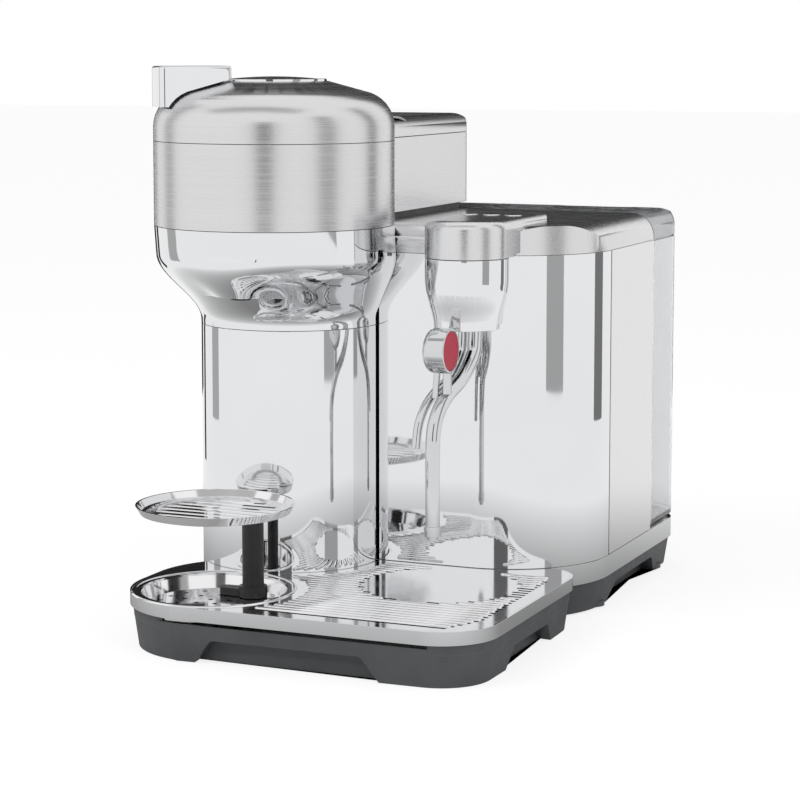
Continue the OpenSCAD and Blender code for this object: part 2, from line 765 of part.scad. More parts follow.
module lid_dome() {
    color([0.72, 0.72, 0.73]) difference() {
        dome_solid(0);
        dome_solid(-1.6);
        rod_z(drum_x, drum_y, 0, lid_z, drum_r + 5);
        rod_z(drum_x, drum_y, lid_z, dome_top + 5, brew_button_r + 3.2);
        for (s = [-1, 1]) translate([drum_x + s * (knuckle_x + knuckle_w / 2), 0, 0])
            block(-knuckle_w / 2 - 1, knuckle_w / 2 + 1, drum_y + 40, far, lid_z - 1, lid_z + 6);
    }
}

// Plastic frame inside the dome, with the barrel of the lid's hinge
module lid_carrier() {
    color([0.12, 0.12, 0.13]) difference() {
        union() {
            rod_z(drum_x, drum_y, lid_z + 0.6, lid_z + 3.4, drum_r - 1.6 - e);
            rod_z(drum_x, drum_y, lid_z - 2, lid_z + 3.4, 37);
            for (s = [-1, 1]) translate([drum_x + s * (knuckle_x + knuckle_w / 2) - knuckle_w / 2, 0, 0]) {
                block(0, knuckle_w, drum_y + 50, hinge_y, lid_z + 0.6, lid_z + 5);
                rod_x(0, knuckle_w, hinge_y, hinge_z, 6);
            }
            difference() {
                rod_z(drum_x, drum_y, lid_z + 3, dome_top - 9, lever_ring_r + 6);
                rod_z(drum_x, drum_y, lid_z + 2, dome_top, lever_ring_r + 4);
            }
            rod_z(drum_x, drum_y, lid_z + 3, dome_top - 11, 12);
        }
        rod_x(-far, far, hinge_y, hinge_z, pin_d / 2 + pin_gap);
        rod_z(drum_x, drum_y, lid_z + 6, far, 5 + pin_gap);
        rod_z(drum_x, drum_y, lid_z - 3, lid_z - 0.4, 31);
    }
}

// Steel plate with the needle that pierces the pod, and the seal round it
module pierce_plate() {
    color([0.72, 0.72, 0.74]) translate([drum_x, drum_y, 0]) {
        translate([0, 0, lid_z - 2.4]) cylinder(r = 30.9, h = 2);
        translate([0, 0, lid_z - 9.4]) cylinder(r1 = 0.8, r2 = 3, h = 7.5, $fn = 32);
    }
}

lever_in = lever_ring_r;
lever_out = lever_in + lever_l;
lever_top = dome_top + 8.2;

// Locking lever: a chrome block on a ring that turns round the brew button
module lock_lever() {
    tip_r = 4;
    color([0.93, 0.93, 0.94]) translate([drum_x, drum_y, 0]) {
        difference() {
            union() {
                translate([0, 0, dome_top - 8.6]) cylinder(r = lever_ring_r + 1.8, h = 8.8);
                rotate([0, 0, lever_angle]) slab(dome_top - 16.3, lever_top)
                    plan(lever_in, lever_out, -lever_w / 2, lever_w / 2, [2, tip_r, tip_r, 2]);
            }
            translate([0, 0, dome_top - 30]) cylinder(r = lever_ring_r, h = 50);
            translate([-drum_x, -drum_y, 0]) difference() {
                dome_solid(1.3);
                rod_z(drum_x, drum_y, 0, far, lever_ring_r + 1.9);
            }
        }
    }
}

module brew_button() {
    color([0.8, 0.8, 0.81]) translate([drum_x, drum_y, 0]) {
        difference() {
            intersection() {
                translate([0, 0, dome_top - 6]) cylinder(r = brew_button_r, h = 9);
                translate([0, 0, dome_top + 1.7 - 260]) sphere(r = 260, $fn = 192);
            }
            translate([0, 0, dome_top - 7]) cylinder(r = brew_button_r - 2, h = 5);
        }
        translate([0, 0, dome_top - 13]) cylinder(r = 5, h = 12);
    }
}

// ---- steam head --------------------------------------------------------------

arm_round = 6;
arm_back = face_y + arm_l;
wand_lug_x = 18;

// Half profile of the steam cover from its axis out
module steam_half(inset, z0) {
    intersection() {
        plan(-steam_r + inset, steam_r - inset, z0, arm_top - inset,
            [0, 0, arm_round - inset, arm_round - inset]);
        translate([0, z0]) square([steam_r, far]);
    }
}

module steam_form(inset, z0) {
    translate([steam_x, steam_y, 0]) rotate_extrude() steam_half(inset, z0);
    intersection() {
        translate([steam_x, arm_back - inset, 0]) rotate([90, 0, 0]) linear_extrude(arm_back - steam_y - inset)
            plan(-steam_r + inset, steam_r - inset, z0, arm_top - inset,
                [0, 0, arm_round - inset, arm_round - inset]);
        slab(z0, arm_top) plan(steam_x - steam_r + inset, steam_x + steam_r - inset, steam_y - 1,
            arm_back - inset, [0, 0, 10 - inset, 10 - inset]);
        translate([steam_x - steam_r, 0, 0]) rotate([90, 0, 90]) linear_extrude(2 * steam_r)
            plan(steam_y - 50, arm_back - inset, z0, arm_top - inset, [0, 0, arm_round - inset, 0]);
    }
}

key_y = face_y + 24;
key_x = [steam_x - 14.5, steam_x, steam_x + 14.5];

module steam_cover() {
    color([0.74, 0.74, 0.75]) difference() {
        steam_form(0, cover_z + seam / 2);
        steam_form(1.6, cover_z - 1);
        intersection() {
            cover_form(-0.02);
            block(-far, far, -far, far, 0, body_top_z + 0.02);
        }
        block(-far, far, face_y - 0.02, far, 0, body_top_z - cover_edge_r);
        block(-far, far, face_y + 20, far, 0, body_top_z + 0.02);
        for (x = key_x) rod_z(x, key_y, body_top_z, far, key_d / 2 + 0.3);
    }
}

// Half profile of the chrome cup: straight barrel, taper and a small flare at the mouth
function cup_profile(inset) = [
    [steam_r - inset, cover_z - seam / 2], [steam_r - inset, cover_z - 14],
    [steam_r - 0.6 - inset, cover_z - 20], [steam_r - 2 - inset, cover_z - 26],
    [cup_mouth_r + 1.6 - inset, cup_z + 10], [cup_mouth_r + 0.5 - inset, cup_z + 5],
    [cup_mouth_r - inset, cup_z]];

module steam_cup() {
    color([0.92, 0.92, 0.93]) difference() {
        translate([steam_x, steam_y, 0]) rotate_extrude() difference() {
            polygon(concat([[0, cup_z]], [[0, cover_z - seam / 2]], cup_profile(0)));
            polygon(concat([[-1, cup_z - 1]], [[-1, cover_z + 1]], [[steam_r - sheet, cover_z + 1]],
                cup_profile(sheet), [[cup_mouth_r - sheet, cup_z - 1]]));
        }
        block(-far, far, face_y - 0.02, far, 0, far);
    }
}

// Plastic frame in the steam head that carries the wand's hinge pin
module steam_frame() {
    z1 = cover_z - seam / 2 - 2;
    color([0.1, 0.1, 0.1]) difference() {
        union() {
            intersection() {
                rod_z(steam_x, steam_y, z1 - 4, z1, steam_r - sheet - 0.05);
                block(-far, far, -far, face_y - 0.1, 0, far);
            }
            for (s = [-1, 1]) translate([steam_x + s * (wand_lug_x - 2) - 2, steam_y, 0])
                block(0, 4, -5, 5, wand_pivot_z - 5.5, z1 - 3);
        }
        rod_x(-far, far, steam_y, wand_pivot_z, pin_d / 2 + 0.01);
        block(steam_x - 11, steam_x + 11, steam_y - 8, steam_y + 8, wand_pivot_z - 9, wand_pivot_z + 9);
        rod_z(steam_x + 5, steam_y + 4, 0, far, 4);
    }
}

// ---- steam wand ----------------------------------------------------------------

hub_half = 10.5;
hub_r = 8;
wand_route = [[5.5, 0, -4], [5.5, -0.5, -14], [5.5, -3, -24], [3, -14, -37], [-2, -30, -48],
    [-4.5, -40, -62], [-5, -42, -78], [-5, -42, -124]];
air_shift = [-8.5, 1, 0];
air_route = [for (i = [0:6]) wand_route[i] + air_shift + (i > 3 ? [-2.2, -1, 1] * (i - 3) / 3 : [0, 0, 0])];
grip_y = -33;
grip_z = -19;
grip_x1 = 3;
pivot = [steam_x, steam_y, wand_pivot_z];

module steam_wand() {
    color([0.92, 0.92, 0.93]) translate(pivot) difference() {
        union() {
            rod_x(-hub_half, hub_half, 0, 0, hub_r);
            tube_along(wand_route, wand_d / 2, 4, 16);
            tube_along(air_route, air_tube_d / 2, 4, 12);
            rod_z(-5, -42, -129, -123, wand_d / 2 + 0.8);
            rod_z(-5, -42, -131, -128, wand_d / 2 - 1);
        }
        rod_x(-20, 20, 0, 0, pin_d / 2 + pin_gap);
        rod_z(-5, -42, -132, -126, 1);
    }
}

// Knob that lifts the wand, on two stems that stand on its tubes
module wand_grip() {
    color([0.92, 0.92, 0.93]) translate(pivot) difference() {
        union() {
            translate([grip_x1 - knob_w, grip_y, grip_z]) rotate([0, 90, 0]) rotate_extrude()
                plan(0, knob_d / 2, 0, knob_w, [0, 5, 0.5, 0]);
            rod([0.6, grip_y, grip_z - knob_d / 2 + 3], [0.4, grip_y + 0.3, -44.6], 2.7);
            rod([-5.6, grip_y, grip_z - knob_d / 2 + 3], [-7.2, grip_y + 0.3, -47.5], 2);
        }
        translate([grip_x1 - knob_w - 1, grip_y, grip_z]) rotate([0, 90, 0]) cylinder(r = 3, h = 4);
        translate([grip_x1 - 3, grip_y, grip_z]) rotate([0, 90, 0]) cylinder(r = knob_d / 2 - 1.6, h = 5);
    }
}

module grip_cap() {
    color([0.72, 0.06, 0.16]) translate(pivot)
        translate([grip_x1 - 3, grip_y, grip_z]) rotate([0, 90, 0])
            cylinder(r = knob_d / 2 - 1.62, h = 3.2);
}

// ---- keys ------------------------------------------------------------------------

module key(x) {
    color([0.85, 0.85, 0.86]) {
        rod_z(x, key_y, body_top_z + 2, arm_top + 0.6, key_d / 2);
        rod_z(x, key_y, body_top_z - 1.8, body_top_z + 2.5, 2);
    }
}

module steam_key() { key(key_x[0]); }
module milk_key() { key(key_x[1]); }
module heat_key() { key(key_x[2]); }

board_x = right_x - 10;

// Switch board under the keys and power board beside the side panel
module circuit_boards() {
    color([0.1, 0.35, 0.2]) {
        difference() {
            block(steam_x - 22, steam_x + 22, key_y - 8, face_y + arm_l + 2, body_top_z - 5, body_top_z - 3.4);
            block(steam_x + 5, steam_x + 30, face_y + 46, face_y + arm_l + 4, body_top_z - 6, body_top_z);
        }
        for (x = key_x) rod_z(x, key_y, body_top_z - 3.4, body_top_z - 2.8, 2.6);
        for (x = [steam_x - 20, steam_x - 2])
            block(x, x + 3, face_y + arm_l - 1, face_y + arm_l + 2, body_top_z - 3.4, body_top_z - sheet - 0.02);
        block(board_x, board_x + 1.6, groove_y + 12, wall_y - 14, deck_floor + 30, deck_floor + 165);
        for (z = [deck_floor + 40, deck_floor + 150]) for (y = [groove_y + 18, wall_y - 22])
            rod_x(board_x + 1.6, right_x - sheet - 0.02, y, z, 2);
        block(board_x - 14, board_x, groove_y + 20, groove_y + 44, deck_floor + 50, deck_floor + 76);
        block(board_x - 9, board_x, groove_y + 50, groove_y + 62, deck_floor + 50, deck_floor + 70);
    }
}

// ---- water works ------------------------------------------------------------------

pump_x = bay_x + 24;
pump_y = wall_y - 34;
pump_z = deck_floor + 26;

module pump() {
    color([0.82, 0.8, 0.72]) {
        rod_x(pump_x, pump_x + 44, pump_y, pump_z, 19);
        rod_x(pump_x - 16, pump_x, pump_y, pump_z, 9);
        rod_x(pump_x + 44, pump_x + 62, pump_y, pump_z, 7);
        block(pump_x + 4, pump_x + 40, pump_y - 16, pump_y + 16, pump_z, pump_z + 22);
    }
}

module pump_cradle() {
    color([0.2, 0.2, 0.2]) difference() {
        union() {
            block(pump_x + 6, pump_x + 12, pump_y - 24, pump_y + 24, deck_z, pump_z);
            block(pump_x + 32, pump_x + 38, pump_y - 24, pump_y + 24, deck_z, pump_z);
            block(pump_x + 6, pump_x + 38, pump_y - 24, pump_y + 24, deck_z, deck_z + 3);
        }
        rod_x(pump_x, pump_x + 50, pump_y, pump_z, 19.02);
    }
}

meter_x = right_x - 34;
meter_y = wall_y - 20;

module flow_meter() {
    color([0.15, 0.15, 0.16]) {
        rod_z(meter_x, meter_y, deck_z, deck_z + 22, 13);
        rod_y(meter_x - 7, meter_y - 24, meter_y, deck_z + 12, 3.4);
    }
}

heater_z = deck_floor + 78;

module coffee_heater() {
    color([0.75, 0.76, 0.78]) {
        block(bay_x + 14, bay_x + 78, wall_y - 30, wall_y - 6, heater_z, heater_z + 60);
        for (k = [0:5]) block(bay_x + 18 + 10 * k, bay_x + 22 + 10 * k, wall_y - 34, wall_y - 29.9,
            heater_z + 3, heater_z + 57);
        for (x = [bay_x + 20, bay_x + 72]) for (z = [heater_z + 8, heater_z + 52])
            rod_y(x, wall_y - 6.5, wall_y - 0.02, z, 3.5);
        rod_z(bay_x + 30, wall_y - 18, heater_z + 60, heater_z + 68, 3.4);
        rod_z(bay_x + 62, wall_y - 18, heater_z - 8, heater_z, 3.4);
    }
}

boiler_x = bay_x + 52;
boiler_y = face_y + 42;
boiler_r = 27;

module steam_heater() {
    color([0.72, 0.73, 0.75]) {
        rod_z(boiler_x, boiler_y, deck_floor + 60, deck_floor + 124, boiler_r);
        rod_z(boiler_x, boiler_y, deck_floor + 124, deck_floor + 131, 3.4);
        rod_z(boiler_x + 12, boiler_y + 12, deck_floor + 52, deck_floor + 60, 3.4);
        for (a = [0, 120, 240]) translate([boiler_x, boiler_y, 0]) rotate([0, 0, a])
            block(20, 25, -3, 3, deck_z, deck_floor + 61);
    }
}

hose_r = 3;
under_z = deck_z - 10.5;
dock_hose = [[right_x - 70, tank_y + 34, deck_z - 3.1], [right_x - 70, tank_y + 34, deck_z - 5.5],
    [right_x - 69, tank_y + 31, deck_z - 9], [right_x - 66, tank_y + 23, under_z],
    [right_x - 59, wall_y + 12.6, under_z], [meter_x - 16, meter_y + 17.6, under_z],
    [meter_x - 10, meter_y + 6.6, under_z + 0.2], [meter_x - 6.7, meter_y + 1.2, deck_z - 8],
    [meter_x - 6, meter_y, deck_z - 4], [meter_x - 6, meter_y, deck_z - 0.1]];
meter_hose = [[meter_x - 7, meter_y - 24.1, deck_z + 12], [meter_x - 7, meter_y - 28, deck_z + 12],
    [meter_x - 6.5, meter_y - 33.4, deck_z + 13.5], [meter_x - 3, meter_y - 36.4, deck_z + 18],
    [meter_x + 3, meter_y - 33.4, deck_z + 23], [pump_x + 77, pump_y - 11.4, pump_z - 2],
    [pump_x + 74.5, pump_y - 3.4, pump_z], [pump_x + 68.5, pump_y - 0.2, pump_z],
    [pump_x + 62.1, pump_y, pump_z]];
lift_hose = [[pump_x - 19.5, pump_y, pump_z - 3], [pump_x - 19.5, pump_y, pump_z + 4],
    [pump_x - 19.3, pump_y + 0.2, pump_z + 14], [pump_x - 16.5, pump_y + 2.6, heater_z - 27],
    [bay_x + 18.5, wall_y - 26.4, heater_z - 22], [bay_x + 34.5, wall_y - 21.4, heater_z - 21],
    [bay_x + 50.5, wall_y - 18.4, heater_z - 20.5], [bay_x + 59.5, wall_y - 18, heater_z - 17.5],
    [bay_x + 62, wall_y - 18, heater_z - 12.5], [bay_x + 62, wall_y - 18, heater_z - 8.1]];

module water_hoses() {
    color([0.85, 0.86, 0.88]) {
        tube_along(dock_hose, 2.6);
        tube_along(meter_hose, hose_r);
        tube_along(lift_hose, hose_r);
    }
}

head_hose = [[bay_x + 30, wall_y - 18, heater_z + 68.1], [bay_x + 30, wall_y - 18, heater_z + 72],
    [bay_x + 30, wall_y - 19, heater_z + 79], [bay_x + 26.5, wall_y - 27.4, cover_z - 23],
    [bay_x + 14, wall_y - 46, cover_z - 12], [bay_x - 7.5, face_y + 90, cover_z - 8],
    [drum_x + 36, face_y + 78, cover_z - 5], [drum_x + 30, face_y + 70, cover_z + 4],
    [drum_x + 30, face_y + 67, body_top_z + 0.5], [drum_x + 30, face_y + 67, bridge_z + 11],
    [drum_x + 30, face_y + 63, lid_z - 24], [drum_x + 30, face_y + 60, lid_z - 15],
    [drum_x + 30, face_y + 59, lid_z - 9.8], [drum_x + 30, face_y + 59, lid_z - 6.1]];
steam_hose = [[boiler_x, boiler_y, deck_floor + 131.1], [boiler_x, boiler_y, deck_floor + 135],
    [boiler_x, boiler_y, deck_floor + 142], [boiler_x + 1.5, boiler_y - 1, deck_floor + 154],
    [boiler_x + 6.5, boiler_y - 5, cover_z - 21], [steam_x + 0.5, boiler_y - 13, cover_z - 8],
    [steam_x + 5, face_y + 16, cover_z + 1], [steam_x + 5, face_y + 3, cover_z + 3.5],
    [steam_x + 5, steam_y + 10.2, cover_z + 4.5], [steam_x + 5, steam_y + 5.5, cover_z + 1.5],
    [steam_x + 5, steam_y + 4.1, cover_z - 2.5], [steam_x + 5, steam_y + 4, cover_z - 8]];

module hot_hoses() {
    color([0.93, 0.93, 0.9]) {
        tube_along(head_hose, hose_r);
        tube_along(steam_hose, hose_r);
    }
}

// ---- drip tray ------------------------------------------------------------------------

tray_left = left_x + 21;
tray_left_r = 57;
tray_right_r = 35;
tray_back_r = 24;
tray_back_y = face_y + 19;
tray_left_back = front_y + 140;
tray_gap_z = deck_z - tray_band_h;
grate_z = deck_z - 1.2;
recess_x = drum_x;
recess_y = front_y + 49.5;
jug_x = steam_x - 2.5;
jug_y = front_y + 110;

// Outline of the drip tray, taken in by an inset
module tray_plan(inset) {
    difference() {
        union() {
            plan(tray_left + inset, drum_x + 30, front_y + inset, tray_left_back - inset,
                [tray_left_r - inset, 0, 0, tray_left_r + 3 - inset]);
            plan(drum_x - 4, right_x - inset, front_y + inset, tray_back_y - inset,
                [0, tray_right_r - inset, tray_back_r - inset, 0]);
        }
        translate([drum_x, column_y]) circle(column_r + slide_gap + inset);
        plan(body_left - slide_gap - inset, right_x + slide_gap + inset, face_y - slide_gap - inset, far,
            [0, body_corner_r + slide_gap + inset, 0, 0]);
    }
}

module tray_base() {
    color([0.25, 0.26, 0.27]) difference() {
        slab(0, tray_gap_z - e) tray_plan(1.5);
        slab(arch_h + 6.5, tray_gap_z + 1) tray_plan(3);
        slab(-1, arch_h + 3) tray_plan(ring_w);
        arch_along_x(front_y - 1, front_y + 12) arch(tray_left + 65, right_x - 62, arch_h + 2, 10, 10);
        arch_along_y(right_x - 12, right_x + 1) arch(front_y + 60, face_y - 30, arch_h, 9, 9);
        block(tray_left + 30, right_x - 30, front_y - 1, front_y + 5, tray_gap_z - 2.5, tray_gap_z + 1);
    }
}

module tray_band() {
    color([0.9, 0.9, 0.91]) {
        slab(tray_gap_z, deck_z) difference() {
            tray_plan(0);
            tray_plan(1.6);
        }
        difference() {
            union() {
                slab(tray_gap_z, tray_gap_z + 1.2) difference() {
                    tray_plan(1.5);
                    tray_plan(5);
                }
                slab(grate_z - 2.2, grate_z - 0.02) difference() {
                    tray_plan(1.5);
                    tray_plan(6);
                }
            }
            rod_z(recess_x, recess_y, 0, far, recess_r - 4.6);
        }
    }
}

// Half chord of a circle of radius r at distance d from its centre
function half_chord(r, d) = abs(d) < r ? sqrt(r * r - d * d) : 0;

rib_margin = 10;
slot_w = 2.4;
rib_rows = floor((face_y - 8 - front_y - 2 * rib_margin) / rib_pitch);

// Slots of one row: from the recess to the right edge, left open round the jug's seat
module rib_row(y, odd) {
    near_recess = half_chord(recess_r + 8, y - recess_y);
    near_column = half_chord(column_r + 10, y - column_y);
    near_corner = max(0, tray_right_r - (y - front_y));
    start = max(recess_x + near_recess, drum_x + near_column, drum_x - 10 + 4 * odd);
    stop = right_x - rib_margin - 0.5 * near_corner;
    gap = half_chord(jug_seat_r, y - jug_y);
    first_stop = gap > 0 ? jug_x - gap - 2 * odd : stop;
    if (first_stop - start > 8) block(start + 3 * odd, first_stop, y, y + slot_w, 0, far);
    if (gap > 0 && stop - jug_x - gap > 8) block(jug_x + gap + 2 * odd, stop, y, y + slot_w, 0, far);
}

hole_r = 1.5;

module recess_holes() {
    for (ring = [1:3]) for (k = [0:6 * ring - 1])
        let (a = 360 * k / (6 * ring) + 9 * ring, d = 11.5 * ring)
            rod_z(recess_x + d * cos(a), recess_y + d * sin(a), 0, far, hole_r);
    rod_z(recess_x, recess_y, 0, far, hole_r);
}

post_x = drum_x + 13;
post_y = recess_y + 25.5;
socket_r = post_d / 2 + 3;

module drip_grate() {
    floor_z = deck_z - recess_depth;
    wall_r = recess_r - 5;
    color([0.86, 0.86, 0.87]) difference() {
        union() {
            difference() {
                slab(grate_z, deck_z) tray_plan(1.62);
                rod_z(recess_x, recess_y, 0, far, wall_r - 1.2);
                for (k = [0:rib_rows]) rib_row(front_y + rib_margin + k * rib_pitch, k % 2);
            }
            difference() {
                rod_z(recess_x, recess_y, floor_z - 1.2, deck_z, wall_r);
                rod_z(recess_x, recess_y, floor_z, deck_z + 1, wall_r - 1.2);
                recess_holes();
            }
            rod_z(post_x, post_y, floor_z - 3, floor_z, socket_r);
        }
        rod_z(post_x, post_y, 0, far, post_d / 2 + 0.1);
    }
}

stand_z = deck_z + plate_rise;

module stand_post() {
    floor_z = deck_z - recess_depth;
    color([0.03, 0.03, 0.03]) {
        rod_z(post_x, post_y, floor_z - 2.5, stand_z - 1.2, post_d / 2);
        rod_z(post_x, post_y, floor_z + 0.3, floor_z + 7, post_d / 2 + 2);
        rod_z(post_x, post_y, stand_z - 5, stand_z - 1.2, post_d / 2 + 4);
        slab(floor_z + 0.3, floor_z + 5)
            plan(post_x - 22, post_x, post_y - 4.5, post_y + 4.5, [4.4, 0, 0, 4.4]);
    }
}

module stand_plate() {
    rim_h = 5;
    color([0.88, 0.88, 0.89]) translate([recess_x, front_y + 52, stand_z]) difference() {
        rotate_extrude() polygon([[0, -1.2], [plate_r - 8, -1.2], [plate_r - 3, 0], [plate_r, rim_h],
            [plate_r - 1.2, rim_h], [plate_r - 4, 1.2], [plate_r - 8.5, 0], [0, 0]]);
        for (k = [0:7]) let (y = -31.5 + 9 * k, half = half_chord(plate_r - 12, y))
            block(-half, half, y, y + 4, -3, 1);
    }
}

// ---- water tank -------------------------------------------------------------------------

tank_z = deck_floor;
tank_top = cover_z - 0.6;
tank_x = bay_x + 2;
valve_x = right_x - 70;
valve_y = tank_y + 34;

module tank_plan(inset) {
    plan(tank_x + inset, right_x - inset, tank_y + inset, back_y - inset,
        [3, 3, tank_corner_r - inset, 3]);
}

module water_tank() {
    color([0.75, 0.78, 0.8, 0.45]) difference() {
        union() {
            difference() {
                slab(tank_z, tank_top) tank_plan(0);
                slab(tank_z + tank_wall, tank_top + 1) tank_plan(tank_wall);
            }
            rod_z(valve_x, valve_y, tank_z, tank_z + 9, 11);
        }
        rod_z(valve_x, valve_y, tank_z - 1, tank_z + 12, 6);
    }
}

// Spring valve in the tank's floor, held open by the dock's pin
module tank_valve() {
    color([0.8, 0.15, 0.1]) difference() {
        union() {
            rod_z(valve_x, valve_y, tank_z + 3.1, tank_z + 9.3, 3.5);
            rod_z(valve_x, valve_y, tank_z + 9.3, tank_z + 11.6, 8.5);
            for (a = [0:90:270]) translate([valve_x, valve_y, 0]) rotate([0, 0, a])
                block(0, 5.9, -0.8, 0.8, tank_z + 3.1, tank_z + 9.3);
        }
        rod_z(valve_x, valve_y, tank_z + 2, tank_z + 3.2, 0.5);
    }
}

grip_half = 29;
grip_cy = back_y - 26;

module tank_lid() {
    color([0.6, 0.62, 0.64, 0.6]) difference() {
        intersection() {
            cover_form(0);
            tank_bay(-lid_gap / 2);
        }
        difference() {
            intersection() {
                cover_form(tank_wall);
                block(bay_x + 4, far, tank_y + 4, far, cover_z - 9, body_top_z - 2);
            }
            slab(0, far) plan(valve_x + 11 - grip_half - 2, valve_x + 11 + grip_half + 2,
                grip_cy - 15, grip_cy + 15, [8, 8, 8, 8]);
        }
        slab(body_top_z - 10, far) plan(valve_x + 11 - grip_half, valve_x + 11 + grip_half,
            grip_cy - 13, grip_cy + 13, [8, 8, 8, 8]);
    }
}

// ---- used pod bin ---------------------------------------------------------------------------

bin_x0 = body_left + sheet + slide_gap + 3;
bin_x1 = bay_x - bulk_t - slide_gap;
bin_y0 = face_y + 62;
bin_z0 = deck_z + 0.4;

module pod_bin() {
    door_z1 = deck_z + bin_h;
    color([0.14, 0.14, 0.15]) difference() {
        union() {
            block(bin_x0, bin_x1, bin_y0, back_y - 3, bin_z0, door_z1 - 4);
            intersection() {
                slab(bin_z0, door_z1) body_plan(0);
                block(body_left, bin_x1, bin_door_y, back_y, bin_z0, door_z1);
            }
        }
        block(bin_x0 + 2, bin_x1 - 2, bin_y0 + 2, back_y - 5, bin_z0 + 2, far);
        slab(door_z1 - 26, door_z1 + 1) plan(drum_x - 24, drum_x + 24, back_y - 5.1, back_y + 10, [0, 0, 0, 0]);
    }
}

base_moulding();
base_band();
deck_plate();
foot_pads();
bulkhead();
front_panel();
side_panel_right();
side_panel_left();
rear_panel();
top_cover();
column();
bell();
head_band();
head_floor();
head_deck();
coffee_nozzle();
bridge_foot();
bridge_shell();
bridge_cover();
spin_motor();
drive_belt();
cup_bearing();
pod_chute();
steam_cover();
steam_cup();
steam_frame();
pivot_pins();
circuit_boards();
tank_dock();
pump();
pump_cradle();
flow_meter();
coffee_heater();
steam_heater();
cord_inlet();
water_hoses();
hot_hoses();
cover_screws();
tray_base();
tray_band();
drip_grate();
stand_post();
stand_plate();
water_tank();
tank_lid();
tank_valve();
pod_bin();
pod_cup();
motor_pulley();
lid_dome();
lid_carrier();
pierce_plate();
lock_lever();
brew_button();
steam_wand();
wand_grip();
grip_cap();
steam_key();
milk_key();
heat_key();
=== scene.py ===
import json
import math

import bmesh
import bpy
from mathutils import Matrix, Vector

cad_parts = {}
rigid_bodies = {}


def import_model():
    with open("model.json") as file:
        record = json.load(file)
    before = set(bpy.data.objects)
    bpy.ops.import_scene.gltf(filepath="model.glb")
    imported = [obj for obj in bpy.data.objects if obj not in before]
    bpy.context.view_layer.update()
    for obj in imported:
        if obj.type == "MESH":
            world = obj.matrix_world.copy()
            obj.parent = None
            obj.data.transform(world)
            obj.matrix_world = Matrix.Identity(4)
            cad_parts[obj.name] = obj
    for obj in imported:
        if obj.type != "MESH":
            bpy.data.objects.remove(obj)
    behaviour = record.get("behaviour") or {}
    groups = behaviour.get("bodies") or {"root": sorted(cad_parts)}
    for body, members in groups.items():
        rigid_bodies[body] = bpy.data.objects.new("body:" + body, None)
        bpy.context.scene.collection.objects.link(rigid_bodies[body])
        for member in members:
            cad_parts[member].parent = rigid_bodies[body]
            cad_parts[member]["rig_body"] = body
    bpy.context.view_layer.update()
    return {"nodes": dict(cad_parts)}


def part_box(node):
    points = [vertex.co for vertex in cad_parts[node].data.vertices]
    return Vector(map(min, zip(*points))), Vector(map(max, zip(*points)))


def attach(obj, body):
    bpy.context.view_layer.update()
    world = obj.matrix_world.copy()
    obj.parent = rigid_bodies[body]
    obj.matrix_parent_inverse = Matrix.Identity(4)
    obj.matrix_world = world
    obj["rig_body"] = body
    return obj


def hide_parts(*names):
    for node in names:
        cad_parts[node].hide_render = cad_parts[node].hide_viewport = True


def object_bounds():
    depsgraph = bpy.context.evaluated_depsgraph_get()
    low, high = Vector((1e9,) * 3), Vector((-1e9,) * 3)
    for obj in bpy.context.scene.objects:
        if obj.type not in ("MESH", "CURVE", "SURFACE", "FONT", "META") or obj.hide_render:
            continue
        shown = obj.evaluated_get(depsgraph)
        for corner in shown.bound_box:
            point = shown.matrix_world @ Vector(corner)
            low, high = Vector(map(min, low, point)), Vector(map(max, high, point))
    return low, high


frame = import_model()

# ---- Base moulding and rubber feet ----
# The machine stands on a dark grey injection-moulded base with a fine spark-eroded grain.
# Six rubber pads are pressed into its underside.


def new_material(name):
    material = bpy.data.materials.new(name)
    material.use_nodes = True
    return material, material.node_tree, material.node_tree.nodes["Principled BSDF"]


def grain(tree, scale, detail=4.0, stretch=(1, 1, 1)):
    """Noise in the piece's own coordinates, stretched along the axes."""
    where = tree.nodes.new("ShaderNodeTexCoord")
    turn = tree.nodes.new("ShaderNodeMapping")
    turn.inputs["Scale"].default_value = stretch
    noise = tree.nodes.new("ShaderNodeTexNoise")
    noise.inputs["Scale"].default_value = scale
    noise.inputs["Detail"].default_value = detail
    tree.links.new(where.outputs["Object"], turn.inputs["Vector"])
    tree.links.new(turn.outputs["Vector"], noise.inputs["Vector"])
    return noise


def ramp(tree, source, low, high):
    """Spreads a noise between two values."""
    spread = tree.nodes.new("ShaderNodeMapRange")
    spread.inputs["From Min"].default_value = 0.3
    spread.inputs["From Max"].default_value = 0.7
    spread.inputs["To Min"].default_value = low
    spread.inputs["To Max"].default_value = high
    tree.links.new(source.outputs["Fac"], spread.inputs["Value"])
    return spread


def relief(tree, shader, source, height, strength):
    bump = tree.nodes.new("ShaderNodeBump")
    bump.inputs["Distance"].default_value = height
    bump.inputs["Strength"].default_value = strength
    tree.links.new(source.outputs["Fac"], bump.inputs["Height"])
    tree.links.new(bump.outputs["Normal"], shader.inputs["Normal"])


def tinted(tree, shader, source, dark, light):
    """Mixes two near colours of one stuff by a noise."""
    mix = tree.nodes.new("ShaderNodeMix")
    mix.data_type = "RGBA"
    mix.inputs["A"].default_value = (*dark, 1)
    mix.inputs["B"].default_value = (*light, 1)
    tree.links.new(ramp(tree, source, 0, 1).outputs["Result"], mix.inputs["Factor"])
    tree.links.new(mix.outputs["Result"], shader.inputs["Base Color"])


def moulded(name, dark, light, rough=(0.38, 0.5), texture=0.25):
    """Matt moulded plastic with a fine grain and faint flow shade."""
    material, tree, shader = new_material(name)
    tinted(tree, shader, grain(tree, 45, 3), dark, light)
    fine = grain(tree, 2600, 2)
    tree.links.new(ramp(tree, grain(tree, 300, 3), *rough).outputs["Result"],
                   shader.inputs["Roughness"])
    relief(tree, shader, fine, 0.0001, texture)
    return material


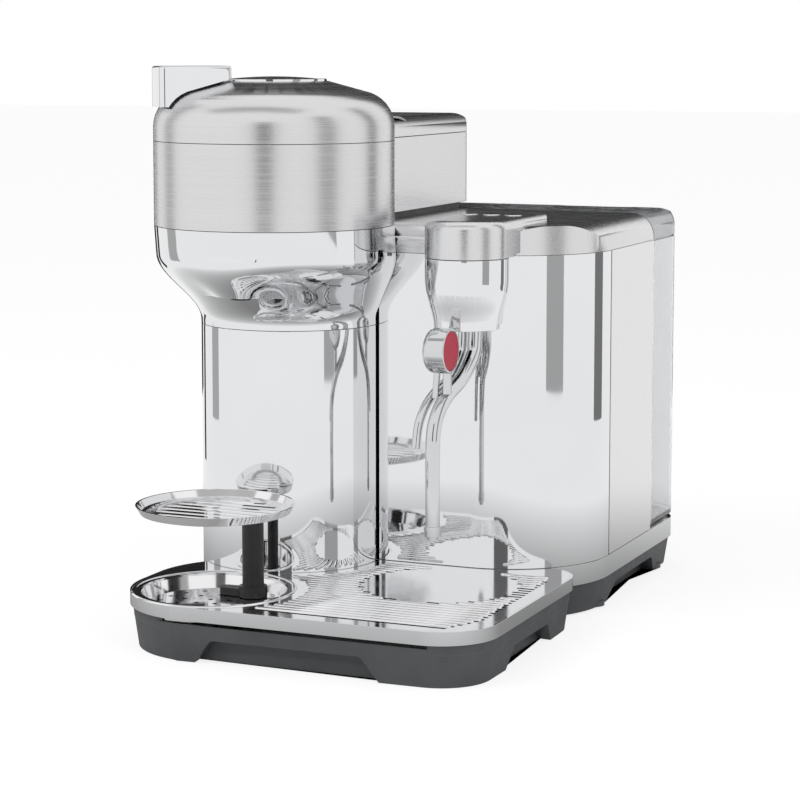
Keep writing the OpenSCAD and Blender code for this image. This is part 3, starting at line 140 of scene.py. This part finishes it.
def smooth_faces(form, sharp):
    """Shades every face smooth, and keeps the lines that turn more than the sharp angle."""
    for face in form.faces:
        face.smooth = True
    for line in form.edges:
        turn = line.calc_face_angle(0)
        line.smooth = len(line.link_faces) == 2 and turn < math.radians(sharp)


def shell(node, material, edge=0.0004, sharp=33, segments=2):
    """A clean smooth-shaded copy of a node, with softened edges, that stands for the node."""
    mesh = frame["nodes"][node].data.copy()
    form = bmesh.new()
    form.from_mesh(mesh)
    bmesh.ops.remove_doubles(form, verts=form.verts, dist=0.000003)
    bmesh.ops.dissolve_limit(form, angle_limit=math.radians(0.4), verts=form.verts,
                             edges=form.edges, delimit={"NORMAL"})
    smooth_faces(form, sharp)
    form.to_mesh(mesh)
    form.free()
    mesh.materials.clear()
    mesh.materials.append(material)
    piece = bpy.data.objects.new(node + "_shell", mesh)
    bpy.context.scene.collection.objects.link(piece)
    if edge:
        soften = piece.modifiers.new("soften", "BEVEL")
        soften.width = edge
        soften.segments = segments
        soften.limit_method = "ANGLE"
        soften.angle_limit = math.radians(sharp)
        soften.harden_normals = True
    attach(piece, frame["nodes"][node]["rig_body"])
    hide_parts(node)
    return piece


def plain(node, material):
    """A node shown as it is, with its own finish."""
    surface = frame["nodes"][node].data.materials
    surface.clear()
    surface.append(material)


dark_plastic = moulded("dark_plastic", (0.07, 0.074, 0.078), (0.092, 0.096, 0.1))
rubber = moulded("rubber_pad", (0.018, 0.018, 0.018), (0.03, 0.03, 0.03), (0.6, 0.75), 0.5)


def draft(piece, top, lean):
    """Leans a moulding's walls inward towards the floor, as they leave the mould."""
    form = bmesh.new()
    form.from_mesh(piece.data)
    form.normal_update()
    low = min(v.co.z for v in form.verts)
    out = {v: Vector((v.normal.x, v.normal.y, 0)) for v in form.verts}
    for v, away in out.items():
        if v.co.z < top and away.length > 0.2:
            v.co -= away.normalized() * lean * (top - v.co.z) / (top - low)
    form.to_mesh(piece.data)
    form.free()
    return piece


draft(shell("base_moulding", dark_plastic, 0.0012, segments=3), 0.02, 0.003)
shell("foot_pads", rubber, 0.0004)

# ---- Chrome base band ----
# A bent strip of polished stainless steel runs round the top of the base.
# Its edges are lightly rolled over.


def polished(name, tint, rough=(0.015, 0.05), wave=0.02):
    """Mirror-polished metal with faint wipe marks and a slight unevenness."""
    material, tree, shader = new_material(name)
    shader.inputs["Metallic"].default_value = 1
    tinted(tree, shader, grain(tree, 12, 2), tuple(c * 0.97 for c in tint), tint)
    tree.links.new(ramp(tree, grain(tree, 60, 5, (1, 1, 0.4)), *rough).outputs["Result"],
                   shader.inputs["Roughness"])
    relief(tree, shader, grain(tree, 14, 1), 0.0004, wave)
    return material


chrome = polished("mirror_chrome", (0.80, 0.805, 0.815))
shell("base_band", chrome, 0.0009, segments=3)

# ---- Deck plate and inner frame ----
# Zinc-plated sheet steel, folded: the deck over the base and the two bulkheads
# that part the works from the pod bin and from the tank.


def brushed(name, tint, stretch, rough=(0.2, 0.34), shade=0.9, depth=0.12, aniso=0.0):
    """Satin steel: fine streaks along one direction in shade, roughness and relief."""
    material, tree, shader = new_material(name)
    shader.inputs["Metallic"].default_value = 1
    shader.inputs["Anisotropic"].default_value = aniso
    streak = grain(tree, 1, 6, stretch)
    tinted(tree, shader, streak, tuple(c * shade for c in tint), tint)
    tree.links.new(ramp(tree, grain(tree, 1, 3, stretch), *rough).outputs["Result"],
                   shader.inputs["Roughness"])
    relief(tree, shader, streak, 0.00006, depth)
    return material


steel_sheet = brushed("zinc_sheet", (0.55, 0.56, 0.57), (60, 60, 400), (0.3, 0.45))
plain("deck_plate", steel_sheet)
plain("bulkhead", steel_sheet)

# ---- Water works ----
# Behind the mirror panel: the vibration pump in its cradle, the flow meter, two
# thermoblocks of cast aluminium, the hoses and the circuit boards.


def hose_stuff(name, tint):
    material, tree, shader = new_material(name)
    tinted(tree, shader, grain(tree, 90, 2), tuple(c * 0.93 for c in tint), tint)
    shader.inputs["Roughness"].default_value = 0.35
    shader.inputs["Transmission Weight"].default_value = 0.35
    return material


black_plastic = moulded("black_plastic", (0.012, 0.012, 0.013), (0.02, 0.02, 0.021),
                        (0.4, 0.55), 0.15)
cream_plastic = moulded("cream_plastic", (0.66, 0.63, 0.55), (0.72, 0.69, 0.61), (0.4, 0.5), 0.1)
cast_aluminium = brushed("cast_aluminium", (0.66, 0.67, 0.68), (700, 700, 700),
                         (0.4, 0.6), 0.85, 0.5)
motor_steel = brushed("motor_steel", (0.5, 0.51, 0.53), (60, 60, 500), (0.3, 0.42))
green_board = moulded("green_board", (0.012, 0.1, 0.035), (0.02, 0.14, 0.05), (0.22, 0.32), 0.1)
for node in ("tank_dock", "pump_cradle", "flow_meter", "cord_inlet", "steam_frame", "pod_chute"):
    plain(node, black_plastic)
plain("pump", cream_plastic)
plain("coffee_heater", cast_aluminium)
plain("steam_heater", cast_aluminium)
plain("spin_motor", motor_steel)
plain("motor_pulley", motor_steel)
plain("circuit_boards", green_board)
plain("water_hoses", hose_stuff("clear_silicone", (0.72, 0.75, 0.77)))
plain("hot_hoses", hose_stuff("white_tube", (0.86, 0.86, 0.83)))
plain("drive_belt", rubber)
plain("cup_bearing", motor_steel)
plain("pivot_pins", motor_steel)
plain("cover_screws", motor_steel)

# ---- Body panels ----
# The front panel is mirror-polished stainless bent round the corner; the side and
# rear panels are the same sheet with a fine upright brushed grain.

side_steel = brushed("side_steel", (0.78, 0.78, 0.79), (2200, 2200, 4), (0.2, 0.27), 0.95, 0.05)
shell("front_panel", chrome, 0.0004)
for node in ("side_panel_right", "side_panel_left", "rear_panel"):
    shell(node, side_steel, 0.0004)

# ---- Top cover ----
# A deep-drawn brushed lid over the body, with the grain running from side to side
# and rounded edges all round.

cover_steel = brushed("cover_steel", (0.74, 0.74, 0.75), (4, 2200, 2200), (0.22, 0.3), 0.93, 0.06)
shell("top_cover", cover_steel, 0.0004)

# ---- Column ----
# A polished tube that carries the brew head and hides the pipes.

shell("column", chrome, 0.0004)

# ---- Bell ----
# A pressed and polished flare between the column and the brew head. In front it has
# a small chin with a sharp lip, under which the coffee comes out.

column_low, column_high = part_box("column")
band_low, band_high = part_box("head_band")
drum_x = (band_low.x + band_high.x) / 2
drum_y = (band_low.y + band_high.y) / 2
drum_r = (band_high.x - band_low.x) / 2
column_r = (column_high.x - column_low.x) / 2
column_y = (column_low.y + column_high.y) / 2
bell_low, bell_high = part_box("bell")
panel_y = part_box("front_panel")[0].y
body_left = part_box("side_panel_left")[0].x


def share(t, start=0.05, span=0.66):
    """How far the flare has opened at t, from 0 at its foot to 1 at its top."""
    u = max(0, min(1, (t - start) / span))
    return u * u * (3 - 2 * u)


chin_lip = 0.345


def chin(t, off, stand=0.0085, height=0.5, half_width=13, widening=16):
    """How far the chin stands out at t, off degrees round from the front."""
    if t < chin_lip:
        return 0
    rise = (t - chin_lip) / height
    fade = math.exp(-(abs(off) / (half_width + widening * rise)) ** 2.6)
    return stand * max(0, 1 - rise) ** 1.5 * fade


def bell_form(wall=0.0015, gap=0.0003, rings=50, lean=0.35):
    """The flare from the column to the drum, cut away where the body stands."""
    form = bmesh.new()
    ring = bmesh.ops.create_circle(form, radius=1, segments=144)["verts"]
    centre_x = centre_y = 0
    for t in sorted([i / rings for i in range(rings + 1)] + [chin_lip - 0.001, chin_lip + 0.0005]):
        if t:
            here = set(ring)
            edges = list({e for v in ring for e in v.link_edges if e.other_vert(v) in here})
            ring = [g for g in bmesh.ops.extrude_edge_only(form, edges=edges)["geom"]
                    if isinstance(g, bmesh.types.BMVert)]
        r = column_r + (drum_r - column_r) * share(t)
        middle = column_y + (drum_y - column_y) * (lean * t + (1 - lean) * share(t))
        for v in ring:
            a = math.atan2(v.co.y - centre_y, v.co.x - centre_x)
            off = math.degrees((a + math.pi / 2 + math.pi) % (2 * math.pi) - math.pi)
            reach = r + chin(t, off)
            v.co = Vector((drum_x + reach * math.cos(a), middle + reach * math.sin(a),
                           bell_low.z + (bell_high.z - bell_low.z) * t))
        centre_x, centre_y = drum_x, middle
    cut_y, cut_x = panel_y - gap, body_left - gap
    for place, normal in (((0, cut_y, 0), (0, 1, 0)), ((cut_x, 0, 0), (1, 0, 0))):
        bmesh.ops.bisect_plane(form, geom=form.verts[:] + form.edges[:] + form.faces[:],
                               plane_co=place, plane_no=normal)
    middles = {f: f.calc_center_median() for f in form.faces}
    gone = [f for f, at in middles.items() if at.y > cut_y and at.x > cut_x]
    bmesh.ops.delete(form, geom=gone, context="FACES")
    bmesh.ops.recalc_face_normals(form, faces=form.faces)
    bmesh.ops.solidify(form, geom=form.faces[:], thickness=wall)
    bmesh.ops.recalc_face_normals(form, faces=form.faces)
    return form


def keep_piece(name, form, material, body, nodes=(), sharp=33):
    """Turns a finished form into a piece of the machine."""
    mesh = bpy.data.meshes.new(name)
    smooth_faces(form, sharp)
    form.to_mesh(mesh)
    form.free()
    mesh.materials.append(material)
    piece = bpy.data.objects.new(name, mesh)
    bpy.context.scene.collection.objects.link(piece)
    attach(piece, body)
    if nodes:
        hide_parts(*nodes)
    return piece


keep_piece("bell_flare", bell_form(), chrome, frame["nodes"]["bell"]["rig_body"],
           ["bell"], 25)
plain("coffee_nozzle", black_plastic)

# ---- Brew head ----
# A brushed band round the drum with a level grain, the floor and the deck inside it,
# the spinning pod cup and its bearing.

round_steel = brushed("round_steel", (0.74, 0.74, 0.75), (5, 5, 2400), (0.22, 0.29), 0.92, 0.06, 0.3)
shell("head_band", round_steel, 0.0005)
shell("head_floor", black_plastic, 0.0003)
shell("head_deck", black_plastic, 0.0004)
shell("pod_cup", dark_plastic, 0.0005)

# ---- Bridge ----
# The box behind the drum: a brushed shell and cover on a black plastic foot that
# stands on the top cover.

shell("bridge_foot", black_plastic, 0.0003)
bridge_steel = brushed("bridge_steel", (0.72, 0.72, 0.73), (4, 4, 2300), (0.22, 0.29), 0.94, 0.05)
shell("bridge_shell", bridge_steel, 0.0005)
shell("bridge_cover", bridge_steel, 0.0004)

# ---- Lid of the brew head ----
# A spun and brushed dome on a plastic carrier, with the piercing plate beneath.
# It hinges up at the back.

shell("lid_dome", round_steel, 0.0005)
shell("lid_carrier", black_plastic, 0.0003)
plain("pierce_plate", motor_steel)

# ---- Locking lever and brew button ----
# A polished block on a turning ring; inside the ring sits a slightly domed brushed
# button that starts the brew.

lever = shell("lock_lever", chrome, 0.0003)
form = bmesh.new()
form.from_mesh(lever.data)
top = max(v.co.z for v in form.verts)
rim = [line for line in form.edges if all(v.co.z > top - 0.0001 for v in line.verts)
       and len(line.link_faces) == 2 and line.calc_face_angle(0) > 0.6]
rim_radius = 0.0016
bmesh.ops.bevel(form, geom=rim, offset=rim_radius, offset_type="OFFSET", segments=5, profile=0.5,
                affect="EDGES", clamp_overlap=True, material=-1)
for face in form.faces:
    face.smooth = True
form.to_mesh(lever.data)
form.free()
button_steel = brushed("button_steel", (0.76, 0.76, 0.77), (9, 1100, 900), (0.2, 0.3), 0.9, 0.1)
shell("brew_button", button_steel, 0.0006, segments=3)

# ---- Steam head ----
# A brushed cover with an arm that lies over the body's edge, three round keys in it,
# and a polished cup below from which the wand hangs.

shell("steam_cover", cover_steel, 0.0004)
shell("steam_cup", chrome, 0.0005)
for node in ("steam_key", "milk_key", "heat_key"):
    shell(node, chrome, 0.0005, segments=3)

# ---- Steam wand ----
# Two bright tubes, one for steam and one for air, bent forward and down; a barrel
# knob with a red enamel end stands on two stems to lift it.

wand_steel = polished("wand_steel", (0.66, 0.665, 0.675))
shell("steam_wand", wand_steel, 0.0003, sharp=50)
shell("wand_grip", wand_steel, 0.0004, sharp=40)
red_enamel, tree, shader = new_material("red_enamel")
tinted(tree, shader, grain(tree, 120, 2), (0.44, 0.002, 0.03), (0.52, 0.003, 0.04))
shader.inputs["Roughness"].default_value = 0.3
shader.inputs["Specular IOR Level"].default_value = 0.3
relief(tree, shader, grain(tree, 300, 2), 0.0001, 0.03)
shell("grip_cap", red_enamel, 0.0008, segments=3)

# ---- Drip tray ----
# A dark moulded tray with its own feet, a polished band round its rim and a pressed
# stainless grate with a round recess for the cup.

draft(shell("tray_base", dark_plastic, 0.0014, segments=3), 0.024, 0.0035)
shell("tray_band", chrome, 0.001, segments=3)
grate_steel = polished("grate_steel", (0.86, 0.86, 0.87), (0.06, 0.13), 0.03)
shell("drip_grate", grate_steel, 0.0005, segments=2)
grate_low, grate_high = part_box("drip_grate")
cup_low, cup_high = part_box("steam_cup")
tray_body = frame["nodes"]["drip_grate"]["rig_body"]
recess_y = grate_low.y + 0.048


def half_chord(r, d):
    return math.sqrt(r * r - d * d) if abs(d) < r else 0


def add_rib(form, x0, x1, y, z, across=0.0017, up=0.0012):
    """A pressed rib with round ends, lying along X."""
    ball = bmesh.ops.create_uvsphere(form, u_segments=16, v_segments=8, radius=1)["verts"]
    reach = (x1 - x0) / 2 - across
    for v in ball:
        side = 1 if v.co.x > 0.01 else -1 if v.co.x < -0.01 else 0
        v.co = Vector(((x0 + x1) / 2 + v.co.x * across + side * reach,
                       y + v.co.y * across, z + v.co.z * up))


def pressed_ribs(pitch=0.0055, margin=0.0139, seat_r=0.048, clear=0.008, sunk=0.0002,
                 stagger=0.001):
    """Rows of ribs that stop short of the recess, the column and the jug's round seat."""
    form = bmesh.new()
    seat_x = (cup_low.x + cup_high.x) / 2 - 0.0025
    seat_y = grate_low.y + 0.1085
    recess_reach, corner_r, right_margin = 0.0555, 0.033, 0.010
    row = 0
    y = grate_low.y + margin
    while y < panel_y - clear:
        corner = max(0, corner_r - (y - grate_low.y))
        start = max(drum_x + half_chord(recess_reach, y - recess_y),
                    drum_x + half_chord(column_r + clear, y - column_y), drum_x - 0.006)
        stop = grate_high.x - right_margin - 0.5 * corner
        gap = half_chord(seat_r, y - seat_y)
        spans = [(start, stop)] if not gap else [(start, seat_x - gap), (seat_x + gap, stop)]
        shift = stagger * (row % 2)
        for x0, x1 in spans:
            if x1 - x0 > clear:
                add_rib(form, x0 + shift, x1 - shift, y, grate_high.z - sunk)
        row += 1
        y += pitch
    return form


keep_piece("grate_ribs", pressed_ribs(), grate_steel, tray_body, sharp=60)


def lathe(points, middle, steps=96):
    """Spins a half profile of (radius, height) points round an upright axis."""
    form = bmesh.new()
    chain = [form.verts.new((r, 0, z)) for r, z in points]
    lines = [form.edges.new(pair) for pair in zip(chain, chain[1:] + chain[:1])]
    bmesh.ops.spin(form, geom=chain + lines, cent=(0, 0, 0), axis=(0, 0, 1), dvec=(0, 0, 0),
                   angle=math.tau, steps=steps, use_merge=True, use_duplicate=False)
    bmesh.ops.remove_doubles(form, verts=form.verts, dist=1e-6)
    bmesh.ops.recalc_face_normals(form, faces=form.faces)
    bmesh.ops.translate(form, verts=form.verts, vec=middle)
    return form


# The recess's wall slopes out from its floor to a raised ring round the mouth.
mouth = grate_high.z
recess_floor = mouth - 0.009
bowl = [(0.0425, recess_floor + 0.0002), (0.0432, recess_floor + 0.0014),
        (0.0443, recess_floor + 0.0042), (0.0456, recess_floor + 0.0068),
        (0.0466, mouth - 0.0002), (0.0473, mouth + 0.0006), (0.0481, mouth + 0.0008),
        (0.0489, mouth + 0.0005), (0.0492, mouth - 0.0003),
        (0.0440, mouth - 0.0004), (0.0420, recess_floor - 0.0003)]
keep_piece("recess_lip", lathe(bowl, (drum_x, recess_y - 0.0001, 0)), grate_steel, tray_body,
           sharp=60)

# ---- Cup stand ----
# A black post in the recess carries a round slotted plate that brings a small cup
# nearer to the spout.

shell("stand_post", black_plastic, 0.0006, segments=3)
shell("stand_plate", grate_steel, 0.0004)

# ---- Water tank ----
# A blow-moulded clear tank with a red seal valve in its floor, under a translucent
# grey lid with a finger pocket.


def clear_plastic(name, tint, rough, ior=1.45):
    material, tree, shader = new_material(name)
    tinted(tree, shader, grain(tree, 20, 2), tuple(c * 0.97 for c in tint), tint)
    tree.links.new(ramp(tree, grain(tree, 200, 3), rough * 0.7, rough * 1.3).outputs["Result"],
                   shader.inputs["Roughness"])
    shader.inputs["Transmission Weight"].default_value = 0.92
    shader.inputs["IOR"].default_value = ior
    return material


shell("water_tank", clear_plastic("tank_clear", (0.86, 0.87, 0.88), 0.04), 0.0005)
shell("tank_lid", clear_plastic("lid_smoke", (0.66, 0.67, 0.69), 0.16), 0.0005)
plain("tank_valve", moulded("red_seal", (0.4, 0.03, 0.02), (0.5, 0.04, 0.03), (0.4, 0.5), 0.1))

# ---- Used pod bin ----
# A dark moulded drawer that slides out at the back.

shell("pod_bin", dark_plastic, 0.0008, segments=3)

# ---- Studio ----
# A white room with a pale floor, soft lamps and black cards that give the polished
# parts their dark lines.

floor_form = bmesh.new()
bmesh.ops.create_grid(floor_form, x_segments=1, y_segments=1, size=12)
floor_mesh = bpy.data.meshes.new("floor")
floor_form.to_mesh(floor_mesh)
floor_form.free()
floor = bpy.data.objects.new("floor", floor_mesh)
floor.location = (0, 0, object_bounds()[0].z - 0.0002)
bpy.context.scene.collection.objects.link(floor)
paper = bpy.data.materials.new("paper")
paper.use_nodes = True
tree = paper.node_tree
tree.nodes.clear()
rays = tree.nodes.new("ShaderNodeLightPath")
glow = tree.nodes.new("ShaderNodeEmission")
glow.inputs["Strength"].default_value = 1.12
matt = tree.nodes.new("ShaderNodeBsdfDiffuse")
matt.inputs["Color"].default_value = (0.92, 0.92, 0.92, 1)
where = tree.nodes.new("ShaderNodeTexCoord")
away = tree.nodes.new("ShaderNodeVectorMath")
away.operation = "LENGTH"
tree.links.new(where.outputs["Object"], away.inputs[0])
# In reflections the paper glows dimmer near the machine, a painted shade that stands in for the
# machine's shadow on it, and white further off.
fade = tree.nodes.new("ShaderNodeMapRange")
fade.inputs["From Min"].default_value = 0.16
fade.inputs["From Max"].default_value = 0.5
fade.inputs["To Min"].default_value = 0.25
fade.inputs["To Max"].default_value = 0.98
tree.links.new(away.outputs["Value"], fade.inputs["Value"])
# The paper as the metal sees it: a glow whose strength carries the painted shade near the machine.
mirrored = tree.nodes.new("ShaderNodeEmission")
tree.links.new(fade.outputs["Result"], mirrored.inputs["Strength"])
# To the camera it mostly glows white, and a part of it takes the soft shadows.
glow_share = tree.nodes.new("ShaderNodeMath")
glow_share.operation = "MULTIPLY"
glow_share.inputs[1].default_value = 0.72
tree.links.new(rays.outputs["Is Camera Ray"], glow_share.inputs[0])
blend = tree.nodes.new("ShaderNodeMixShader")
tree.links.new(glow_share.outputs[0], blend.inputs["Fac"])
tree.links.new(matt.outputs[0], blend.inputs[1])
tree.links.new(glow.outputs[0], blend.inputs[2])
last = tree.nodes.new("ShaderNodeMixShader")
tree.links.new(rays.outputs["Is Glossy Ray"], last.inputs["Fac"])
tree.links.new(blend.outputs[0], last.inputs[1])
tree.links.new(mirrored.outputs[0], last.inputs[2])
out = tree.nodes.new("ShaderNodeOutputMaterial")
tree.links.new(last.outputs[0], out.inputs["Surface"])
floor.data.materials.append(paper)

world = bpy.data.worlds.new("room")
bpy.context.scene.world = world
world.use_nodes = True
tree = world.node_tree
# The room is white wherever it is seen or mirrored, and lights the machine less strongly.
back = tree.nodes["Background"]
rays = tree.nodes.new("ShaderNodeLightPath")
seen = tree.nodes.new("ShaderNodeMath")
seen.operation = "MAXIMUM"
more = tree.nodes.new("ShaderNodeMath")
more.operation = "MAXIMUM"
tree.links.new(rays.outputs["Is Camera Ray"], seen.inputs[0])
tree.links.new(rays.outputs["Is Glossy Ray"], seen.inputs[1])
tree.links.new(seen.outputs[0], more.inputs[0])
tree.links.new(rays.outputs["Is Transmission Ray"], more.inputs[1])
level = tree.nodes.new("ShaderNodeMapRange")
level.inputs["To Min"].default_value = 0.62
level.inputs["To Max"].default_value = 1.0
tree.links.new(more.outputs[0], level.inputs["Value"])
tree.links.new(level.outputs["Result"], back.inputs["Strength"])
back.inputs["Color"].default_value = (1, 1, 1, 1)


def card(name, place, size, turn, tone=0.02):
    """A dark card, seen only in reflections."""
    form = bmesh.new()
    bmesh.ops.create_grid(form, x_segments=1, y_segments=1, size=0.5)
    mesh = bpy.data.meshes.new(name)
    form.to_mesh(mesh)
    form.free()
    piece = bpy.data.objects.new(name, mesh)
    piece.location = place
    piece.scale = (size[0], size[1], 1)
    piece.rotation_euler = tuple(math.radians(a) for a in turn)
    bpy.context.scene.collection.objects.link(piece)
    surface = bpy.data.materials.new(name)
    surface.use_nodes = True
    surface.node_tree.nodes.clear()
    flat = surface.node_tree.nodes.new("ShaderNodeEmission")
    flat.inputs["Color"].default_value = (tone, tone, tone, 1)
    end = surface.node_tree.nodes.new("ShaderNodeOutputMaterial")
    surface.node_tree.links.new(flat.outputs[0], end.inputs["Surface"])
    mesh.materials.append(surface)
    piece.visible_camera = False
    piece.visible_diffuse = False
    piece.visible_shadow = False
    piece.visible_transmission = False


def upright(name, azimuth, distance, width, height, tone, level=0.4):
    """A standing card at an azimuth round the machine, turned to face it."""
    turn = math.radians(azimuth)
    card(name, (distance * math.sin(turn), -distance * math.cos(turn), level), (width, height),
         (90, 0, azimuth), tone)


upright("card_behind", 203, 0.9, 1.1, 1.8, 0.02)
upright("card_back_left", -112, 0.62, 0.07, 1.6, 0.03)
upright("card_left", -84, 0.9, 0.22, 1.6, 0.45)
upright("card_front", 72, 1.1, 0.36, 1.5, 0.42)
upright("card_right", 128, 0.9, 0.22, 1.6, 0.2)
upright("card_camera", 15, 2.3, 0.60, 1.2, 0.14, 0.62)
card("card_top", (-0.2, -0.9, 1.9), (2.4, 0.6), (0, 0, 10), 0.5)


def lamp(name, place, target, size, power):
    light = bpy.data.lights.new(name, "AREA")
    light.size = size
    light.energy = power
    piece = bpy.data.objects.new(name, light)
    piece.location = place
    piece.rotation_euler = (Vector(target) - Vector(place)).to_track_quat("-Z", "Y").to_euler()
    bpy.context.scene.collection.objects.link(piece)
    piece.visible_camera = False
    piece.visible_glossy = False


lamp("key", (-1.1, -1.3, 1.7), (0, 0, 0.15), 1.2, 14)
lamp("fill", (1.5, -0.9, 1.2), (0, 0, 0.15), 1.2, 7)

# ---- Camera ----
# A long lens, a little to the right of the front, level with the top of the machine
# and tipped slightly down.

lens = bpy.data.cameras.new("camera")
lens.sensor_width = 36
lens.lens = 108
lens.shift_y = -0.1
camera = bpy.data.objects.new("camera", lens)
camera.location = (0.592, -1.390, 0.351)
tip = math.atan(0.1125)
camera.rotation_euler = (math.radians(90) - tip, 0, math.radians(23))
bpy.context.scene.collection.objects.link(camera)
bpy.context.scene.camera = camera
lens.clip_start = 0.05
lens.clip_end = 60
bpy.context.scene.view_settings.view_transform = "Standard"
